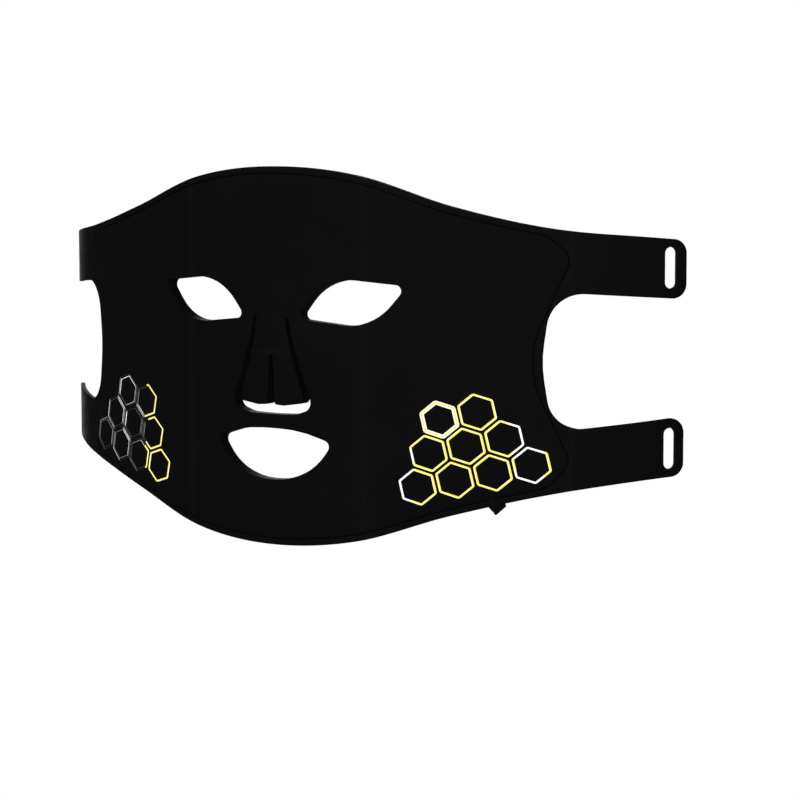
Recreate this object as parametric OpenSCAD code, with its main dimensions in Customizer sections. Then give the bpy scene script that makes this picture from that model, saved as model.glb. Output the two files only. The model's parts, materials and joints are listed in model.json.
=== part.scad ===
// Flexible LED face mask: a layered silicone sheet bent round an upright axis,
// with eye, nose and mouth openings, a slit nose piece and four slotted strap tabs.
//
// The sheet faces -Y, Z is up and the wearer's left is +X. The origin lies on the
// centre line, level with z = 0 of the pattern and half-way through the bent depth.
// Flat-pattern coordinates are [s, z]: s runs along the bend, z is up.
// Depths are measured inwards from the outer surface, towards the skin.

/* [Sheet] */
// Overall height of the sheet at the centre line
sheet_h = 195; // [192:0.5:198]
// Total thickness of the sheet
sheet_t = 7.2; // [6.6:0.1:8]
// Outer radius of the bend across the face
bend_r = 314; // [260:1:420]
// Outer radius of the tighter bend at the sides
side_bend_r = 174; // [150:1:260]
// Distance along the sheet from the centre line to where the tighter bend starts
bend_change_s = 140; // [138:1:144]
// Distance along the sheet from the centre line to the end of a strap tab
tab_end_s = 219.6; // [218:0.1:224]

/* [Layers] */
// Thickness of the outer cover panel
cover_t = 1.4; // [1.2:0.1:1.6]
// Thickness of the skin-side floor of the rear shell
floor_t = 1.8; // [1.6:0.1:2.2]
// Width of the groove between the cover panel and the rim
groove_w = 0.3; // [0.2:0.05:0.5]
// Width of the rim above and below the cover panel
rim_w = 3.4; // [3:0.1:4.2]
// Width of the collars round the face openings
collar_w = 2.2; // [1.8:0.1:2.6]
// Thickness of the strap tabs
tab_t = 2.6; // [2:0.1:3]

/* [Outline] */
// Height of the upper edge 50 mm from the centre line
top_50 = 92.6; // [91:0.1:94]
// Height of the upper edge 100 mm from the centre line
top_100 = 77.4; // [76:0.1:79]
// Height of the upper edge 150 mm from the centre line
top_150 = 66.6; // [65.5:0.1:68]
// Height of the upper edge 200 mm from the centre line
top_200 = 62.1; // [61:0.1:63.5]
// Depth of the lower edge 50 mm from the centre line
low_50 = 92.5; // [91:0.1:93.5]
// Depth of the lower edge 100 mm from the centre line
low_100 = 77.2; // [76:0.1:78]
// Depth of the lower edge 150 mm from the centre line
low_150 = 65.4; // [64:0.1:66.5]
// Depth of the lower edge 200 mm from the centre line
low_200 = 58.3; // [56.5:0.1:58.5]
// Distance along the sheet from the centre line to the ear cut-out
ear_s = 146.5; // [145:0.5:148]

/* [Bend lines] */
// Gap between neighbouring segments at a cheek bend line
bend_gap = 2; // [1.8:0.1:2.4]
// Gap between neighbouring segments at a tab or nose bend line
small_gap = 1.2; // [1:0.1:1.6]
// Where the tab bend line crosses the sheet
tab_bend_s = 166; // [164:0.5:172]

/* [Strap slots] */
// Length of a strap slot
slot_len = 20.5; // [20:0.5:24]
// Width of a strap slot
slot_w = 6; // [4:0.1:6.6]
// Slot centre along the sheet
slot_s = 211; // [208:0.1:212]

/* [Honeycomb] */
// Spacing of the honeycomb cells
cell_pitch = 17.9; // [17.6:0.1:18.4]
// Circumradius of a cell ring, measured on its centre line
cell_r = 9; // [8.4:0.1:9.2]
// Turn of the honeycomb on the cheek, in degrees
cell_turn = 13.4; // [10:0.1:16]
// Stretch of the honeycomb along the bend
cell_stretch = 1.106; // [1.05:0.001:1.12]
// Width of a cell ring
ring_w = 1.5; // [1.2:0.1:1.8]
// Width of a thin cell ring
thin_ring_w = 0.8; // [0.6:0.1:1.2]
// Width of the coloured print on a cell ring
print_w = 0.8; // [0.5:0.1:1]

/* [Light array] */
// Spacing of the lamps along a row
led_pitch = 20; // [20:0.5:21]
// Spacing of the rows of lamps
led_row = 17; // [16.5:0.1:17.2]
// Radius of a lamp window in the rear shell
window_r = 3.5; // [3:0.1:3.6]

/* [Power jack] */
// Inside radius of the jack's socket
jack_bore_r = 1.3; // [1.25:0.01:1.35]
// Depth of the jack's socket
jack_bore_len = 11; // [9:0.5:12]
// Outside radius of the jack's boot
jack_boot_r = 3.7; // [3.4:0.05:3.8]

/* [Hidden] */
$fn = 96;
eps = 0.05;

black = [0.06, 0.06, 0.065];
clear = [0.75, 0.78, 0.8, 0.6];
foam_grey = [0.25, 0.25, 0.27];
copper = [0.72, 0.45, 0.12];
film_white = [0.95, 0.95, 0.93];
lamp_yellow = [0.95, 0.85, 0.35];
print_yellow = [0.98, 0.88, 0.12];
steel = [0.75, 0.75, 0.78];
brass = [0.8, 0.65, 0.25];
wire_red = [0.7, 0.1, 0.1];
sensor_black = [0.1, 0.1, 0.1];

// ---- depths of the layers ----------------------------------------------
foam_near = cover_t + 0.1;
pcb_near = cover_t + 1.15;     // outer face of the flexible circuit
pcb_t = 0.25;
foam_far = pcb_near - 0.05;
led_near = pcb_near + 0.3;
film_near = pcb_near + 0.35;
film_t = 0.25;
floor_near = sheet_t - floor_t;
cavity_near = cover_t - 0.2;   // overlaps the pocket for the cover

rim_ledge = 2;      // ledge under the cover panel, inside the rim
bend_wall = 1.6;    // wall of the shell along a cheek bend line
layer_gap = 0.4;    // gap between an inner layer and the walls round it
foam_inset = 0.4;   // foam and film are this much smaller than the circuit
film_inset = 0.3;

// ---- bend of the sheet -------------------------------------------------
side_angle = bend_change_s / bend_r * 180 / PI;
end_angle = side_angle + (tab_end_s - bend_change_s) / side_bend_r * 180 / PI;
side_centre = [(bend_r - side_bend_r) * sin(side_angle),
  bend_r - (bend_r - side_bend_r) * cos(side_angle)];
// extent of the bent sheet, front to back
bent_depth = side_centre[1] - side_bend_r * cos(end_angle) + tab_t * cos(end_angle);
reach = 110;   // half height of cutting bodies, more than that of the sheet

// direction the outer surface faces at s, in degrees from -Y towards +X
function face_angle(s) = let(a = abs(s)) sign(s) * 180 / PI * (a < bend_change_s
  ? a / bend_r
  : bend_change_s / bend_r + (a - bend_change_s) / side_bend_r);
// plan position of the outer surface at s, with the centre line's front at y = 0
function surface_point(s) = let(angle = face_angle(abs(s))) abs(s) < bend_change_s
  ? [sign(s) * bend_r * sin(angle), bend_r * (1 - cos(angle))]
  : [sign(s) * (side_centre[0] + side_bend_r * sin(angle)),
     side_centre[1] - side_bend_r * cos(angle)];
// a flat-pattern point seen in the tangent plane at plane_s
function in_plane(p, plane_s) =
  let(v = surface_point(p[0]) - surface_point(plane_s), angle = face_angle(plane_s))
  [v[0] * cos(angle) + v[1] * sin(angle), p[1]];

// ---- outline helpers -----------------------------------------------------
function catmull_rom(a, b, c, d, t) = 0.5 * (2 * b + (c - a) * t
  + (2 * a - 5 * b + 4 * c - d) * t * t + (3 * b - a - 3 * c + d) * t * t * t);
function unit(v) = v / norm(v);
function wrap(angle) = angle > 180 ? angle - 360 : angle < -180 ? angle + 360 : angle;
// points of an arc of radius r that rounds the corner between before and after
function corner(before, tip, after, r) = r == 0 ? [tip] : let(
    u = unit(before - tip),
    v = unit(after - tip),
    half = acos(u * v) / 2,
    centre = tip + unit(u + v) * r / sin(half),
    first = tip + u * r / tan(half) - centre,
    last = tip + v * r / tan(half) - centre,
    start = atan2(first[1], first[0]),
    turn = wrap(atan2(last[1], last[0]) - start),
    n = max(2, ceil(abs(turn) / 14)))
  [for (k = [0:n]) centre + r * [cos(start + turn * k / n), sin(start + turn * k / n)]];
// outline through corners [s, z, radius]
function rounded(corners) = let(n = len(corners), p = [for (c = corners) [c[0], c[1]]])
  [for (i = [0:n - 1]) each corner(p[(i + n - 1) % n], p[i], p[(i + 1) % n], corners[i][2])];
// moves a counter-clockwise outline outwards
function grow(p, distance) = let(n = len(p)) [for (i = [0:n - 1])
  let(along = unit(p[(i + 1) % n] - p[(i + n - 1) % n])) p[i] + distance * [along[1], -along[0]]];
function reverse(p) = [for (i = [len(p) - 1:-1:0]) p[i]];
// mirror image in the centre line, keeping the sense of rotation
function flip(p) = [for (q = reverse(p)) [-q[0], q[1]]];
// drops points from the start and the end of a list
function trim(p, head = 0, tail = 0) = [for (i = [head:len(p) - 1 - tail]) p[i]];
// s at which a path of points crosses height z
function s_at(path, z) = let(
    i = [for (k = [0:len(path) - 2]) if ((path[k][1] - z) * (path[k + 1][1] - z) <= 0) k][0],
    a = path[i],
    b = path[i + 1])
  a[0] + (b[0] - a[0]) * (z - a[1]) / (b[1] - a[1]);

// ---- outer edge ------------------------------------------------------------
// distances from z = 0 at stations 50 mm apart, the first at s = -50
station_pitch = 50;
top_stations = [top_50, sheet_h / 2, top_50, top_100, top_150, top_200,
  top_200 - 3.5, top_200 - 5];
low_stations = [low_50, sheet_h / 2, low_50, low_100, low_150, low_200,
  low_200 - 3.4, low_200 - 5];
function edge(st, s) = let(a = min(abs(s), 249) / station_pitch, i = floor(a))
  catmull_rom(st[i], st[i + 1], st[i + 2], st[i + 3], a - i);
function top(s) = edge(top_stations, s);
function low(s) = -edge(low_stations, s);
// n steps along an edge, moved inwards by inset
function top_run(from, to, n, inset = 0) =
  [for (i = [0:n]) let(s = from + (to - from) * i / n) [s, top(s) - inset]];
function low_run(from, to, n, inset = 0) =
  [for (i = [0:n]) let(s = from + (to - from) * i / n) [s, low(s) + inset]];

// ---- cheek bend line, leaning outwards towards the top ----------------------
bend_mid = 75.6;
bend_lean = 0.078;
bend_half_gap = bend_gap / 2 / cos(atan(bend_lean));
function bend_s(z) = bend_mid + bend_lean * z;

// ---- openings and side outlines, wearer's left half (s > 0) -----------------
// straight edges of the upper and lower strap tabs that face each other
function upper_tab_edge(s) = 35.2 - 0.058 * (s - 151);
function lower_tab_edge(s) = -34 + 0.102 * (s - 151);

// the tables hold corners [s, z, radius]
ear_far = 240;   // beyond the ends of the tabs
ear = rounded([
  [ear_far, upper_tab_edge(ear_far), 0],
  [151.3, upper_tab_edge(151.3), 18],
  [ear_s - 0.6, 0, 60],
  [151.6, lower_tab_edge(151.6), 16],
  [ear_far, lower_tab_edge(ear_far), 0]]);
// end of the cover panel: two round lobes joined by a waist beside the ear cut-out
cover_end = rounded([
  [125, top(125) - rim_w, 0],
  [149, top(149) - rim_w - 0.3, 13],
  [161.6, 52.3, 8],
  [ear_s - 4.3, 10, 40],
  [ear_s - 4.2, -10, 40],
  [161.3, -49.3, 8],
  [150, low(150) + rim_w + 0.2, 12],
  [125, low(125) + rim_w, 0]]);
eye = rounded([[78.1, 37.5, 3], [46.9, 40.3, 25], [30.6, 37.7, 31],
  [16.4, 19.9, 2.8], [50, 16.5, 30], [64.8, 22.1, 31]]);
mouth = rounded([[36.8, -43.3, 3.2], [18, -36.9, 80], [-18, -36.9, 80], [-36.8, -43.3, 3.2],
  [-26.9, -57, 33], [-9.1, -63.5, 43], [9.1, -63.5, 43], [26.9, -57, 33]]);

// ---- nose outlines -----------------------------------------------------------
// side slits run down and outwards from a round top to a wide slot
slit_top = [10, 19.2];
slit_r = 1.1;
// outer side of the slit, [s, z]
nose_side = [slit_top + [slit_r, 0], [13.4, 9], [16.2, 0], [22.6, -17.6]];
// inner side of the slit, [s, z]
tongue_side = [slit_top - [slit_r, 0], [10.9, 9], [13, 0], [16.3, -10], [18.9, -18.6]];
// lower edge of the opening, from the end of nose_side to the centre line
nose_low = rounded([[22.6, -17.6, 0], [26.2, -25.8, 5], [15, -29.3, 20], [0, -29.6, 0]]);
// lower edge of a flap, from the end of tongue_side to the centre slit
flap_low = rounded([[18.9, -18.6, 0], [20, -23.4, 2.4], [8, -24.6, 9],
  [2.4, -24.6, 1.2], [2.2, -21.8, 0]]);
// side of the slit between the flaps, and its round upper end, [s, z]
centre_slit = [[2.2, -21.8], [1, 0.3]];
centre_slit_end = [[-1, 0.3], [-0.71, 1.03], [0, 1.3], [0.71, 1.03], [1, 0.3]];
// bend lines above the bridge and between the bridge and the flaps
nose_bend_z = 15;
flap_bend_z = -2.4;

nose_hole = let(
    z = nose_bend_z + small_gap / 2,
    arc = [for (a = [0:30:180]) slit_top + slit_r * [cos(a), sin(a)]],
    upper = concat(arc, [[s_at(tongue_side, z), z]]),
    lower = concat(trim(nose_side, 1), trim(nose_low, 1)))
  concat(upper, flip(upper), flip(reverse(lower)), trim(reverse(lower), 1));
bridge_outline = let(
    z_up = nose_bend_z - small_gap / 2,
    z_low = flap_bend_z + small_gap / 2,
    half = [[s_at(centre_slit, z_low), z_low], [s_at(tongue_side, z_low), z_low],
      [13, 0], [10.6, 10], [s_at(tongue_side, z_up), z_up]])
  concat(half, flip(half), centre_slit_end);
flap_outline = let(z = flap_bend_z - small_gap / 2) concat(
  [[s_at(centre_slit, z), z]],
  reverse(flap_low),
  reverse([for (q = trim(tongue_side, tail = 1)) if (q[1] < z) q]),
  [[s_at(tongue_side, z), z]]);
// simple keep-out round the nose for the inner layers, [s, z]
nose_keep = [[14, 24], [-14, 24], [-17, 8], [-27.5, -14], [-27.5, -27],
  [-20, -32], [20, -32], [27.5, -27], [27.5, -14], [17, 8]];
// pocket in the bridge pad
function nose_pocket(inset) = [[-6.5 + inset, 3.6 + inset], [6.5 - inset, 3.6 + inset],
  [6 - inset, 13 - inset], [-6 + inset, 13 - inset]];

// ---- segment outlines ----------------------------------------------------------
centre_end_s = 92;   // the centre outline runs past both cheek bend lines
left_start_s = 62;   // the left outline starts inside the cheek bend line
cover_run_s = 132;   // where the cover's edge leaves the sheet's edge for its lobes
tab_overlap = 4;     // outlines run this far past the tab bend line

function centre_outline(inset) = concat(
  low_run(-centre_end_s, centre_end_s, 24, inset),
  top_run(centre_end_s, -centre_end_s, 24, inset));
left_outline = let(end = tab_bend_s + tab_overlap) concat(
  low_run(left_start_s, end, 12),
  [[end, lower_tab_edge(end)]],
  reverse([for (q = ear) if (q[0] < end) q]),
  [[end, upper_tab_edge(end)]],
  top_run(end, left_start_s, 12));
function cover_left(inset) = concat(
  low_run(left_start_s, cover_run_s, 6, rim_w + inset),
  trim(grow(reverse(cover_end), -inset), 1, 1),
  top_run(cover_run_s, left_start_s, 6, rim_w + inset));

// ---- solids along the bend -------------------------------------------------------
// where the outlines are laid on tangent planes
eye_plane_s = 47;
left_plane_s = 112;
tab_plane_s = 192;

module shift() translate([0, -bent_depth / 2, 0]) children();
module mirrored() mirror([1, 0, 0]) children();
module at(s) translate([surface_point(s)[0], surface_point(s)[1], 0])
  rotate([0, 0, face_angle(s)]) children();
function ray(angle) = [sin(angle), -cos(angle)];

// plan sections of the bent sheet between two depths
module plan_ring(r, near, far) difference() {
  circle(r - near, $fn = 720);
  circle(r - far, $fn = 720);
}
module plan_main(near, far) intersection() {
  translate([0, bend_r]) plan_ring(bend_r, near, far);
  polygon([[0, bend_r], [0, bend_r] + 2 * bend_r * ray(-side_angle),
    [0, -2 * bend_r], [0, bend_r] + 2 * bend_r * ray(side_angle)]);
}
module plan_side(near, far) intersection() {
  translate(side_centre) plan_ring(side_bend_r, near, far);
  polygon([side_centre, side_centre + 400 * ray(side_angle),
    side_centre + 500 * ray(60), side_centre + 400 * ray(88)]);
}
module upright() translate([0, 0, -reach]) linear_extrude(2 * reach) children();
module band(near, far) upright() plan_main(near, far);
module band_left(near, far) upright() {
  plan_main(near, far);
  plan_side(near, far);
}

// a prism through the sheet, square to it at plane_s
module through(outline, plane_s, near = -3, far = 26)
  at(plane_s) translate([0, far, 0]) rotate([90, 0, 0]) linear_extrude(far - near)
    polygon([for (q = outline) in_plane(q, plane_s)]);
module centre_slab(near, far, outline) intersection() {
  band(near, far);
  through(outline, 0);
}
module left_slab(near, far, outline) intersection() {
  band_left(near, far);
  through(outline, left_plane_s);
}

// everything on one side of the left cheek bend line (1 outer, -1 inner),
// starting gap short of the line
module beyond_bend(dir, gap) let(size = 45, lean = bend_lean * reach, far = dir * size)
  at(bend_mid) translate([0, 30, 0]) rotate([90, 0, 0]) linear_extrude(size)
    polygon([[-dir * gap - lean, -reach], [far - lean, -reach],
      [far + lean, reach], [-dir * gap + lean, reach]]);
// the same for the tab bend line, starting half a small gap short of it
module beyond_tab(dir) let(size = 12, half = small_gap / 2)
  at(tab_bend_s) translate([dir > 0 ? -half : half - size, -6, -reach])
    cube([size, 20, 2 * reach]);
module keep_centre(gap) difference() {
  children();
  beyond_bend(1, gap);
  mirrored() beyond_bend(1, gap);
}
module keep_left(gap) difference() {
  children();
  beyond_bend(-1, gap);
}

module openings(growth = 0, nose = nose_hole) {
  through(grow(eye, growth), eye_plane_s);
  mirrored() through(grow(eye, growth), eye_plane_s);
  through(grow(mouth, growth), 0);
  through(nose, 0);
}

// a box centred on [s, z], its outer face at depth near
module block(s, z, near, size)
  at(s) translate([-size[0] / 2, near, z - size[2] / 2]) cube(size);

// ---- lamp positions ------------------------------------------------------------------
function segment_distance(p, a, b) =
  norm(p - a - max(0, min(1, (p - a) * (b - a) / ((b - a) * (b - a)))) * (b - a));
function outline_distance(p, outline) = let(n = len(outline))
  min([for (i = [0:n - 1]) segment_distance(p, outline[i], outline[(i + 1) % n])]);
// counts the edges crossed by a ray from p
function inside(p, outline) = let(n = len(outline)) len([for (i = [0:n - 1])
  let(a = outline[i], b = outline[(i + 1) % n])
  if ((a[1] > p[1]) != (b[1] > p[1])
    && p[0] < (b[0] - a[0]) * (p[1] - a[1]) / (b[1] - a[1]) + a[0]) 1]) % 2 == 1;
function clear_of(p, outline, room) = !inside(p, outline) && outline_distance(p, outline) > room;

// least distances from a lamp's centre
cover_room = window_r + 3.4;               // to the cover's edge or a bend line
rim_room = cover_room + rim_w;             // to the sheet's edge
opening_room = window_r + collar_w + 1;    // to the eye or mouth
nose_room = window_r + 1;                  // to the nose keep-out

function centre_ok(s, z) = let(a = abs(s)) a + cover_room < bend_s(z)
  && z < top(a) - rim_room && z > low(a) + rim_room
  && clear_of([a, z], eye, opening_room) && clear_of([a, z], mouth, opening_room)
  && clear_of([a, z], nose_keep, nose_room);
function left_ok(s, z) = s - cover_room > bend_s(z) && inside([s, z], cover_left(0))
  && outline_distance([s, z], cover_left(0)) > cover_room;

first_row_z = 84;
// every second row is offset by half a pitch
led_grid = [for (j = [0:10], i = [-9:9])
  [led_pitch * i + (j % 2) * led_pitch / 2, first_row_z - led_row * j]];
centre_leds = [for (p = led_grid) if (centre_ok(p[0], p[1])) p];
left_leds = [for (p = led_grid) if (p[0] > 0 && left_ok(p[0], p[1])) p];
nose_led = [[0, 8.2]];

// ---- lamp parts, one at each [s, z] of a list --------------------------------------------
module leds(points) for (p = points) block(p[0], p[1], led_near, [3.5, 0.75, 2.8]);
module film_windows(points) for (p = points) block(p[0], p[1], pcb_near - 1, [4.8, 4, 4]);
module windows(points) for (p = points)
  at(p[0]) translate([0, film_near, p[1]]) rotate([-90, 0, 0]) cylinder(r = window_r, h = sheet_t);
// a plug in the window with a tapered end standing out of the skin side
module lenses(points) for (p = points)
  at(p[0]) translate([0, floor_near + eps, p[1]]) rotate([-90, 0, 0]) {
    cylinder(r = window_r - eps, h = floor_t - eps);
    translate([0, 0, floor_t - eps])
      cylinder(r1 = window_r - eps, r2 = window_r - 1.2, h = 0.45);
  }

// ---- place of the jack: its axis lies in the sheet, pointing down and outwards -----------
jack_s = 126;
jack_z = low(jack_s) - 3.4;
jack_angle = 48;
jack_len = 14;
barrel_r = 1.75;
jack_hole_r = barrel_r + eps;
// area kept free of inner layers round the jack, [s, z]
jack_keep = [[103, -55.2], [103, -62], [112, -75], [132, -75], [132, -66], [117, -55.2]];

module jack_frame() at(jack_s) translate([0, sheet_t / 2, jack_z])
  rotate([0, 90 + jack_angle, 0]) children();
// cuts the hole for the jack
module with_jack_hole() difference() {
  children();
  jack_frame() translate([0, 0, -17.2]) cylinder(r = jack_hole_r, h = 20);
}
// cuts the free area round the jack from an inner layer
module clear_jack() difference() {
  children();
  through(jack_keep, 118);
}

// ---- outer cover --------------------------------------------------------------------------
module left_cover_solid() keep_left(bend_half_gap) left_slab(0, cover_t, cover_left(groove_w));
module front_cover_centre() color(black) shift() difference() {
  keep_centre(bend_half_gap) centre_slab(0, cover_t, centre_outline(rim_w + groove_w));
  openings();
}
module front_cover_left() color(black) shift() with_jack_hole() left_cover_solid();
module front_cover_right() color(black) shift() mirrored() left_cover_solid();

// ---- rear shell: rim, collars and skin-side floor ---------------------------------------------
module rear_shell_centre() color(black) shift() difference() {
  keep_centre(bend_half_gap) centre_slab(0, sheet_t, centre_outline(0));
  // pocket for the cover
  centre_slab(-1, cover_t + eps, centre_outline(rim_w));
  // cavity for the inner layers
  difference() {
    keep_centre(bend_half_gap + bend_wall)
      centre_slab(cavity_near, floor_near, centre_outline(rim_w + rim_ledge));
    openings(collar_w, nose_keep);
  }
  openings();
  windows(centre_leds);
}
module left_shell_solid() difference() {
  left_slab(0, sheet_t, left_outline);
  beyond_bend(-1, bend_half_gap);
  beyond_tab(1);
  // pocket for the cover
  left_slab(-1, cover_t + eps, cover_left(0));
  // cavity for the inner layers
  keep_left(bend_half_gap + bend_wall)
    left_slab(cavity_near, floor_near, cover_left(rim_ledge));
  // the strap tabs and their roots are thinner than the lit part of the sheet
  upright() intersection() {
    plan_side(tab_t, sheet_t + 2);
    polygon([side_centre, side_centre + 300 * ray(face_angle(162)),
      side_centre + 300 * ray(face_angle(200))]);
  }
  windows(left_leds);
}
module rear_shell_left() color(black) shift() with_jack_hole() left_shell_solid();
module rear_shell_right() color(black) shift() mirrored() left_shell_solid();

// ---- inner layers -------------------------------------------------------------------------------
module layer_centre(near, far, inset) difference() {
  keep_centre(bend_half_gap + bend_wall + layer_gap)
    centre_slab(near, far, centre_outline(rim_w + rim_ledge + layer_gap + inset));
  openings(collar_w + layer_gap + inset, nose_keep);
}
module layer_left(near, far, inset) keep_left(bend_half_gap + bend_wall + layer_gap)
  left_slab(near, far, cover_left(rim_ledge + layer_gap + inset));

module left_foam() layer_left(foam_near, foam_far, foam_inset);
module foam_backing_centre() color(foam_grey) shift()
  layer_centre(foam_near, foam_far, foam_inset);
module foam_backing_left() color(foam_grey) shift() clear_jack() left_foam();
module foam_backing_right() color(foam_grey) shift() mirrored() left_foam();

module left_circuit() layer_left(pcb_near, pcb_near + pcb_t, 0);
module flex_circuit_centre() color(copper) shift() layer_centre(pcb_near, pcb_near + pcb_t, 0);
module flex_circuit_left() color(copper) shift() clear_jack() left_circuit();
module flex_circuit_right() color(copper) shift() mirrored() left_circuit();

module left_film() difference() {
  layer_left(film_near, film_near + film_t, film_inset);
  film_windows(left_leds);
}
module reflector_film_centre() color(film_white) shift() difference() {
  layer_centre(film_near, film_near + film_t, film_inset);
  film_windows(centre_leds);
}
module reflector_film_left() color(film_white) shift() difference() {
  clear_jack() left_film();
  block(sensor_s, sensor_z, pcb_near + 0.1, [3.2, 1, 2.4]);
}
module reflector_film_right() color(film_white) shift() mirrored() left_film();

module leds_centre() color(lamp_yellow) shift() leds(centre_leds);
module leds_left() color(lamp_yellow) shift() leds(left_leds);
module leds_right() color(lamp_yellow) shift() mirrored() leds(left_leds);
module led_lenses_centre() color(clear) shift() lenses(centre_leds);
module led_lenses_left() color(clear) shift() lenses(left_leds);
module led_lenses_right() color(clear) shift() mirrored() lenses(left_leds);

sensor_s = 106;
sensor_z = -10;
module temperature_sensor() color(sensor_black) shift()
  block(sensor_s, sensor_z, led_near, [2, 0.7, 1.2]);

// ---- honeycomb on the cheeks ----------------------------------------------------------------------
// cells in rows of two, three and four, as steps along the two axes of the honeycomb
cells = [[0, 0], [1, 0],
  [0, 1], [1, 1], [2, 1],
  [0, 2], [1, 2], [2, 2], [3, 2]];
first_cell = [95, -28.6];
// indices of the cells that carry coloured print
printed_left = [0, 1, 2, 3, 4, 5, 6, 7];
printed_right = [0, 2, 5];
ring_depths = [-0.3, -0.02];
print_depths = [-0.42, -0.32];

function cell_centre(cell) = let(
    u = [cos(cell_turn), sin(cell_turn)],
    v = [cos(cell_turn - 120), sin(cell_turn - 120)],
    q = cell_pitch * (cell[0] * u + cell[1] * v))
  first_cell + [cell_stretch * q[0], q[1]];
function hexagon(centre, r) = [for (i = [0:5]) let(a = 90 + cell_turn - 1.2 + 60 * i)
  centre + [cell_stretch * r * cos(a), r * sin(a)]];
function has(list, k) = len([for (x = list) if (x == k) 1]) > 0;

module cell_ring(k, width, depths)
  let(centre = cell_centre(cells[k]), half = width / 2 / cos(30)) intersection() {
    band_left(depths[0], depths[1]);
    difference() {
      through(hexagon(centre, cell_r + half), centre[0], -2, 4);
      through(hexagon(centre, cell_r - half), centre[0], -3, 5);
    }
  }
module honeycomb_rings_left() color("white") shift()
  for (k = [0:8]) cell_ring(k, ring_w, ring_depths);
// on the right the cells without print have thin rings
module honeycomb_rings_right() color("white") shift() mirrored()
  for (k = [0:8]) cell_ring(k, has(printed_right, k) ? ring_w : thin_ring_w, ring_depths);
module honeycomb_print_left() color(print_yellow) shift()
  for (k = printed_left) cell_ring(k, print_w, print_depths);
module honeycomb_print_right() color(print_yellow) shift() mirrored()
  for (k = printed_right) cell_ring(k, print_w, print_depths);

// ---- strap tabs --------------------------------------------------------------------------------------
tab_r = 7.2;   // radius of the tab corners
tab_start_s = tab_bend_s - tab_overlap;
upper_slot_z = 46.9;
lower_slot_z = -42.9;

function tab_corner(s, z, start) =
  [for (a = [start:15:start + 90]) [s + tab_r * cos(a), z + tab_r * sin(a)]];
upper_tab = let(s = tab_end_s - tab_r) concat(
  [[tab_start_s, upper_tab_edge(tab_start_s)]],
  tab_corner(s, upper_tab_edge(s) + tab_r, -90),
  tab_corner(s, top(s) - tab_r, 0),
  trim(top_run(s, tab_start_s, 6), 1));
// the lower tab is slightly shorter
lower_tab = let(s = tab_end_s - 0.9 - tab_r) concat(
  trim(low_run(tab_start_s, s, 6), tail = 1),
  tab_corner(s, low(s) + tab_r, -90),
  tab_corner(s, lower_tab_edge(s) - tab_r, 0),
  [[tab_start_s, lower_tab_edge(tab_start_s)]]);

module slot(z) let(straight = slot_len - slot_w, cut = 12)
  at(slot_s) translate([0, -3, z]) rotate([-90, 0, 0]) {
    for (k = [-1, 1]) translate([0, k * straight / 2, 0]) cylinder(r = slot_w / 2, h = cut);
    translate([-slot_w / 2, -straight / 2, 0]) cube([slot_w, straight, cut]);
  }
module tab(outline, slot_z) difference() {
  intersection() {
    upright() plan_side(0, tab_t);
    through(outline, tab_plane_s);
  }
  beyond_tab(-1);
  slot(slot_z);
}
module strap_tab_left_upper() color(black) shift() tab(upper_tab, upper_slot_z);
module strap_tab_left_lower() color(black) shift() tab(lower_tab, lower_slot_z);
module strap_tab_right_upper() color(black) shift() mirrored() tab(upper_tab, upper_slot_z);
module strap_tab_right_lower() color(black) shift() mirrored() tab(lower_tab, lower_slot_z);

// ---- nose piece -----------------------------------------------------------------------------------------
module nose_cover(outline) centre_slab(0, cover_t, outline);
module nose_pad(outline) centre_slab(cover_t + eps, sheet_t, outline);

module nose_bridge_cover() color(black) shift() nose_cover(bridge_outline);
module nose_bridge_pad() color(black) shift() difference() {
  nose_pad(bridge_outline);
  centre_slab(cavity_near, floor_near, nose_pocket(0));
  windows(nose_led);
}
module nose_flex_strip() color(copper) shift()
  centre_slab(pcb_near, pcb_near + pcb_t, nose_pocket(0.3));
module nose_leds() color(lamp_yellow) shift() leds(nose_led);
module nose_lenses() color(clear) shift() lenses(nose_led);
module nose_flap_left_cover() color(black) shift() nose_cover(flap_outline);
module nose_flap_left_pad() color(black) shift() nose_pad(flap_outline);
module nose_flap_right_cover() color(black) shift() mirrored() nose_cover(flap_outline);
module nose_flap_right_pad() color(black) shift() mirrored() nose_pad(flap_outline);

// ---- power jack: its mouth is at z = 0 of the jack frame ---------------------------------------------------
boot_len = 9;
// the part of the boot outside the sheet
module jack_boot() color(black) shift() difference() {
  jack_frame() difference() {
    translate([0, 0, -boot_len]) cylinder(r = jack_boot_r, h = boot_len);
    translate([0, 0, -boot_len - 1]) cylinder(r = jack_hole_r, h = boot_len + 2);
  }
  intersection() {
    band(-1.2, sheet_t + 1.2);
    through(grow(left_outline, 0.1), left_plane_s);
  }
}
module jack_barrel() color(steel) shift() jack_frame() translate([0, 0, -jack_len])
  difference() {
    cylinder(r = barrel_r, h = jack_len);
    translate([0, 0, jack_len - jack_bore_len]) cylinder(r = jack_bore_r, h = jack_bore_len + 1);
    // hole for the contact
    translate([0, 0, -1]) cylinder(r = 0.8, h = 6);
  }
module jack_contact() color(brass) shift() jack_frame()
  translate([0, 0, -jack_len - 1.6]) cylinder(r = 0.75, h = 4);
module jack_wires() color(wire_red) shift() jack_frame()
  for (k = [-1, 1]) translate([k * 1.25, 0, -jack_len - 7]) cylinder(r = 0.4, h = 6.9);

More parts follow.
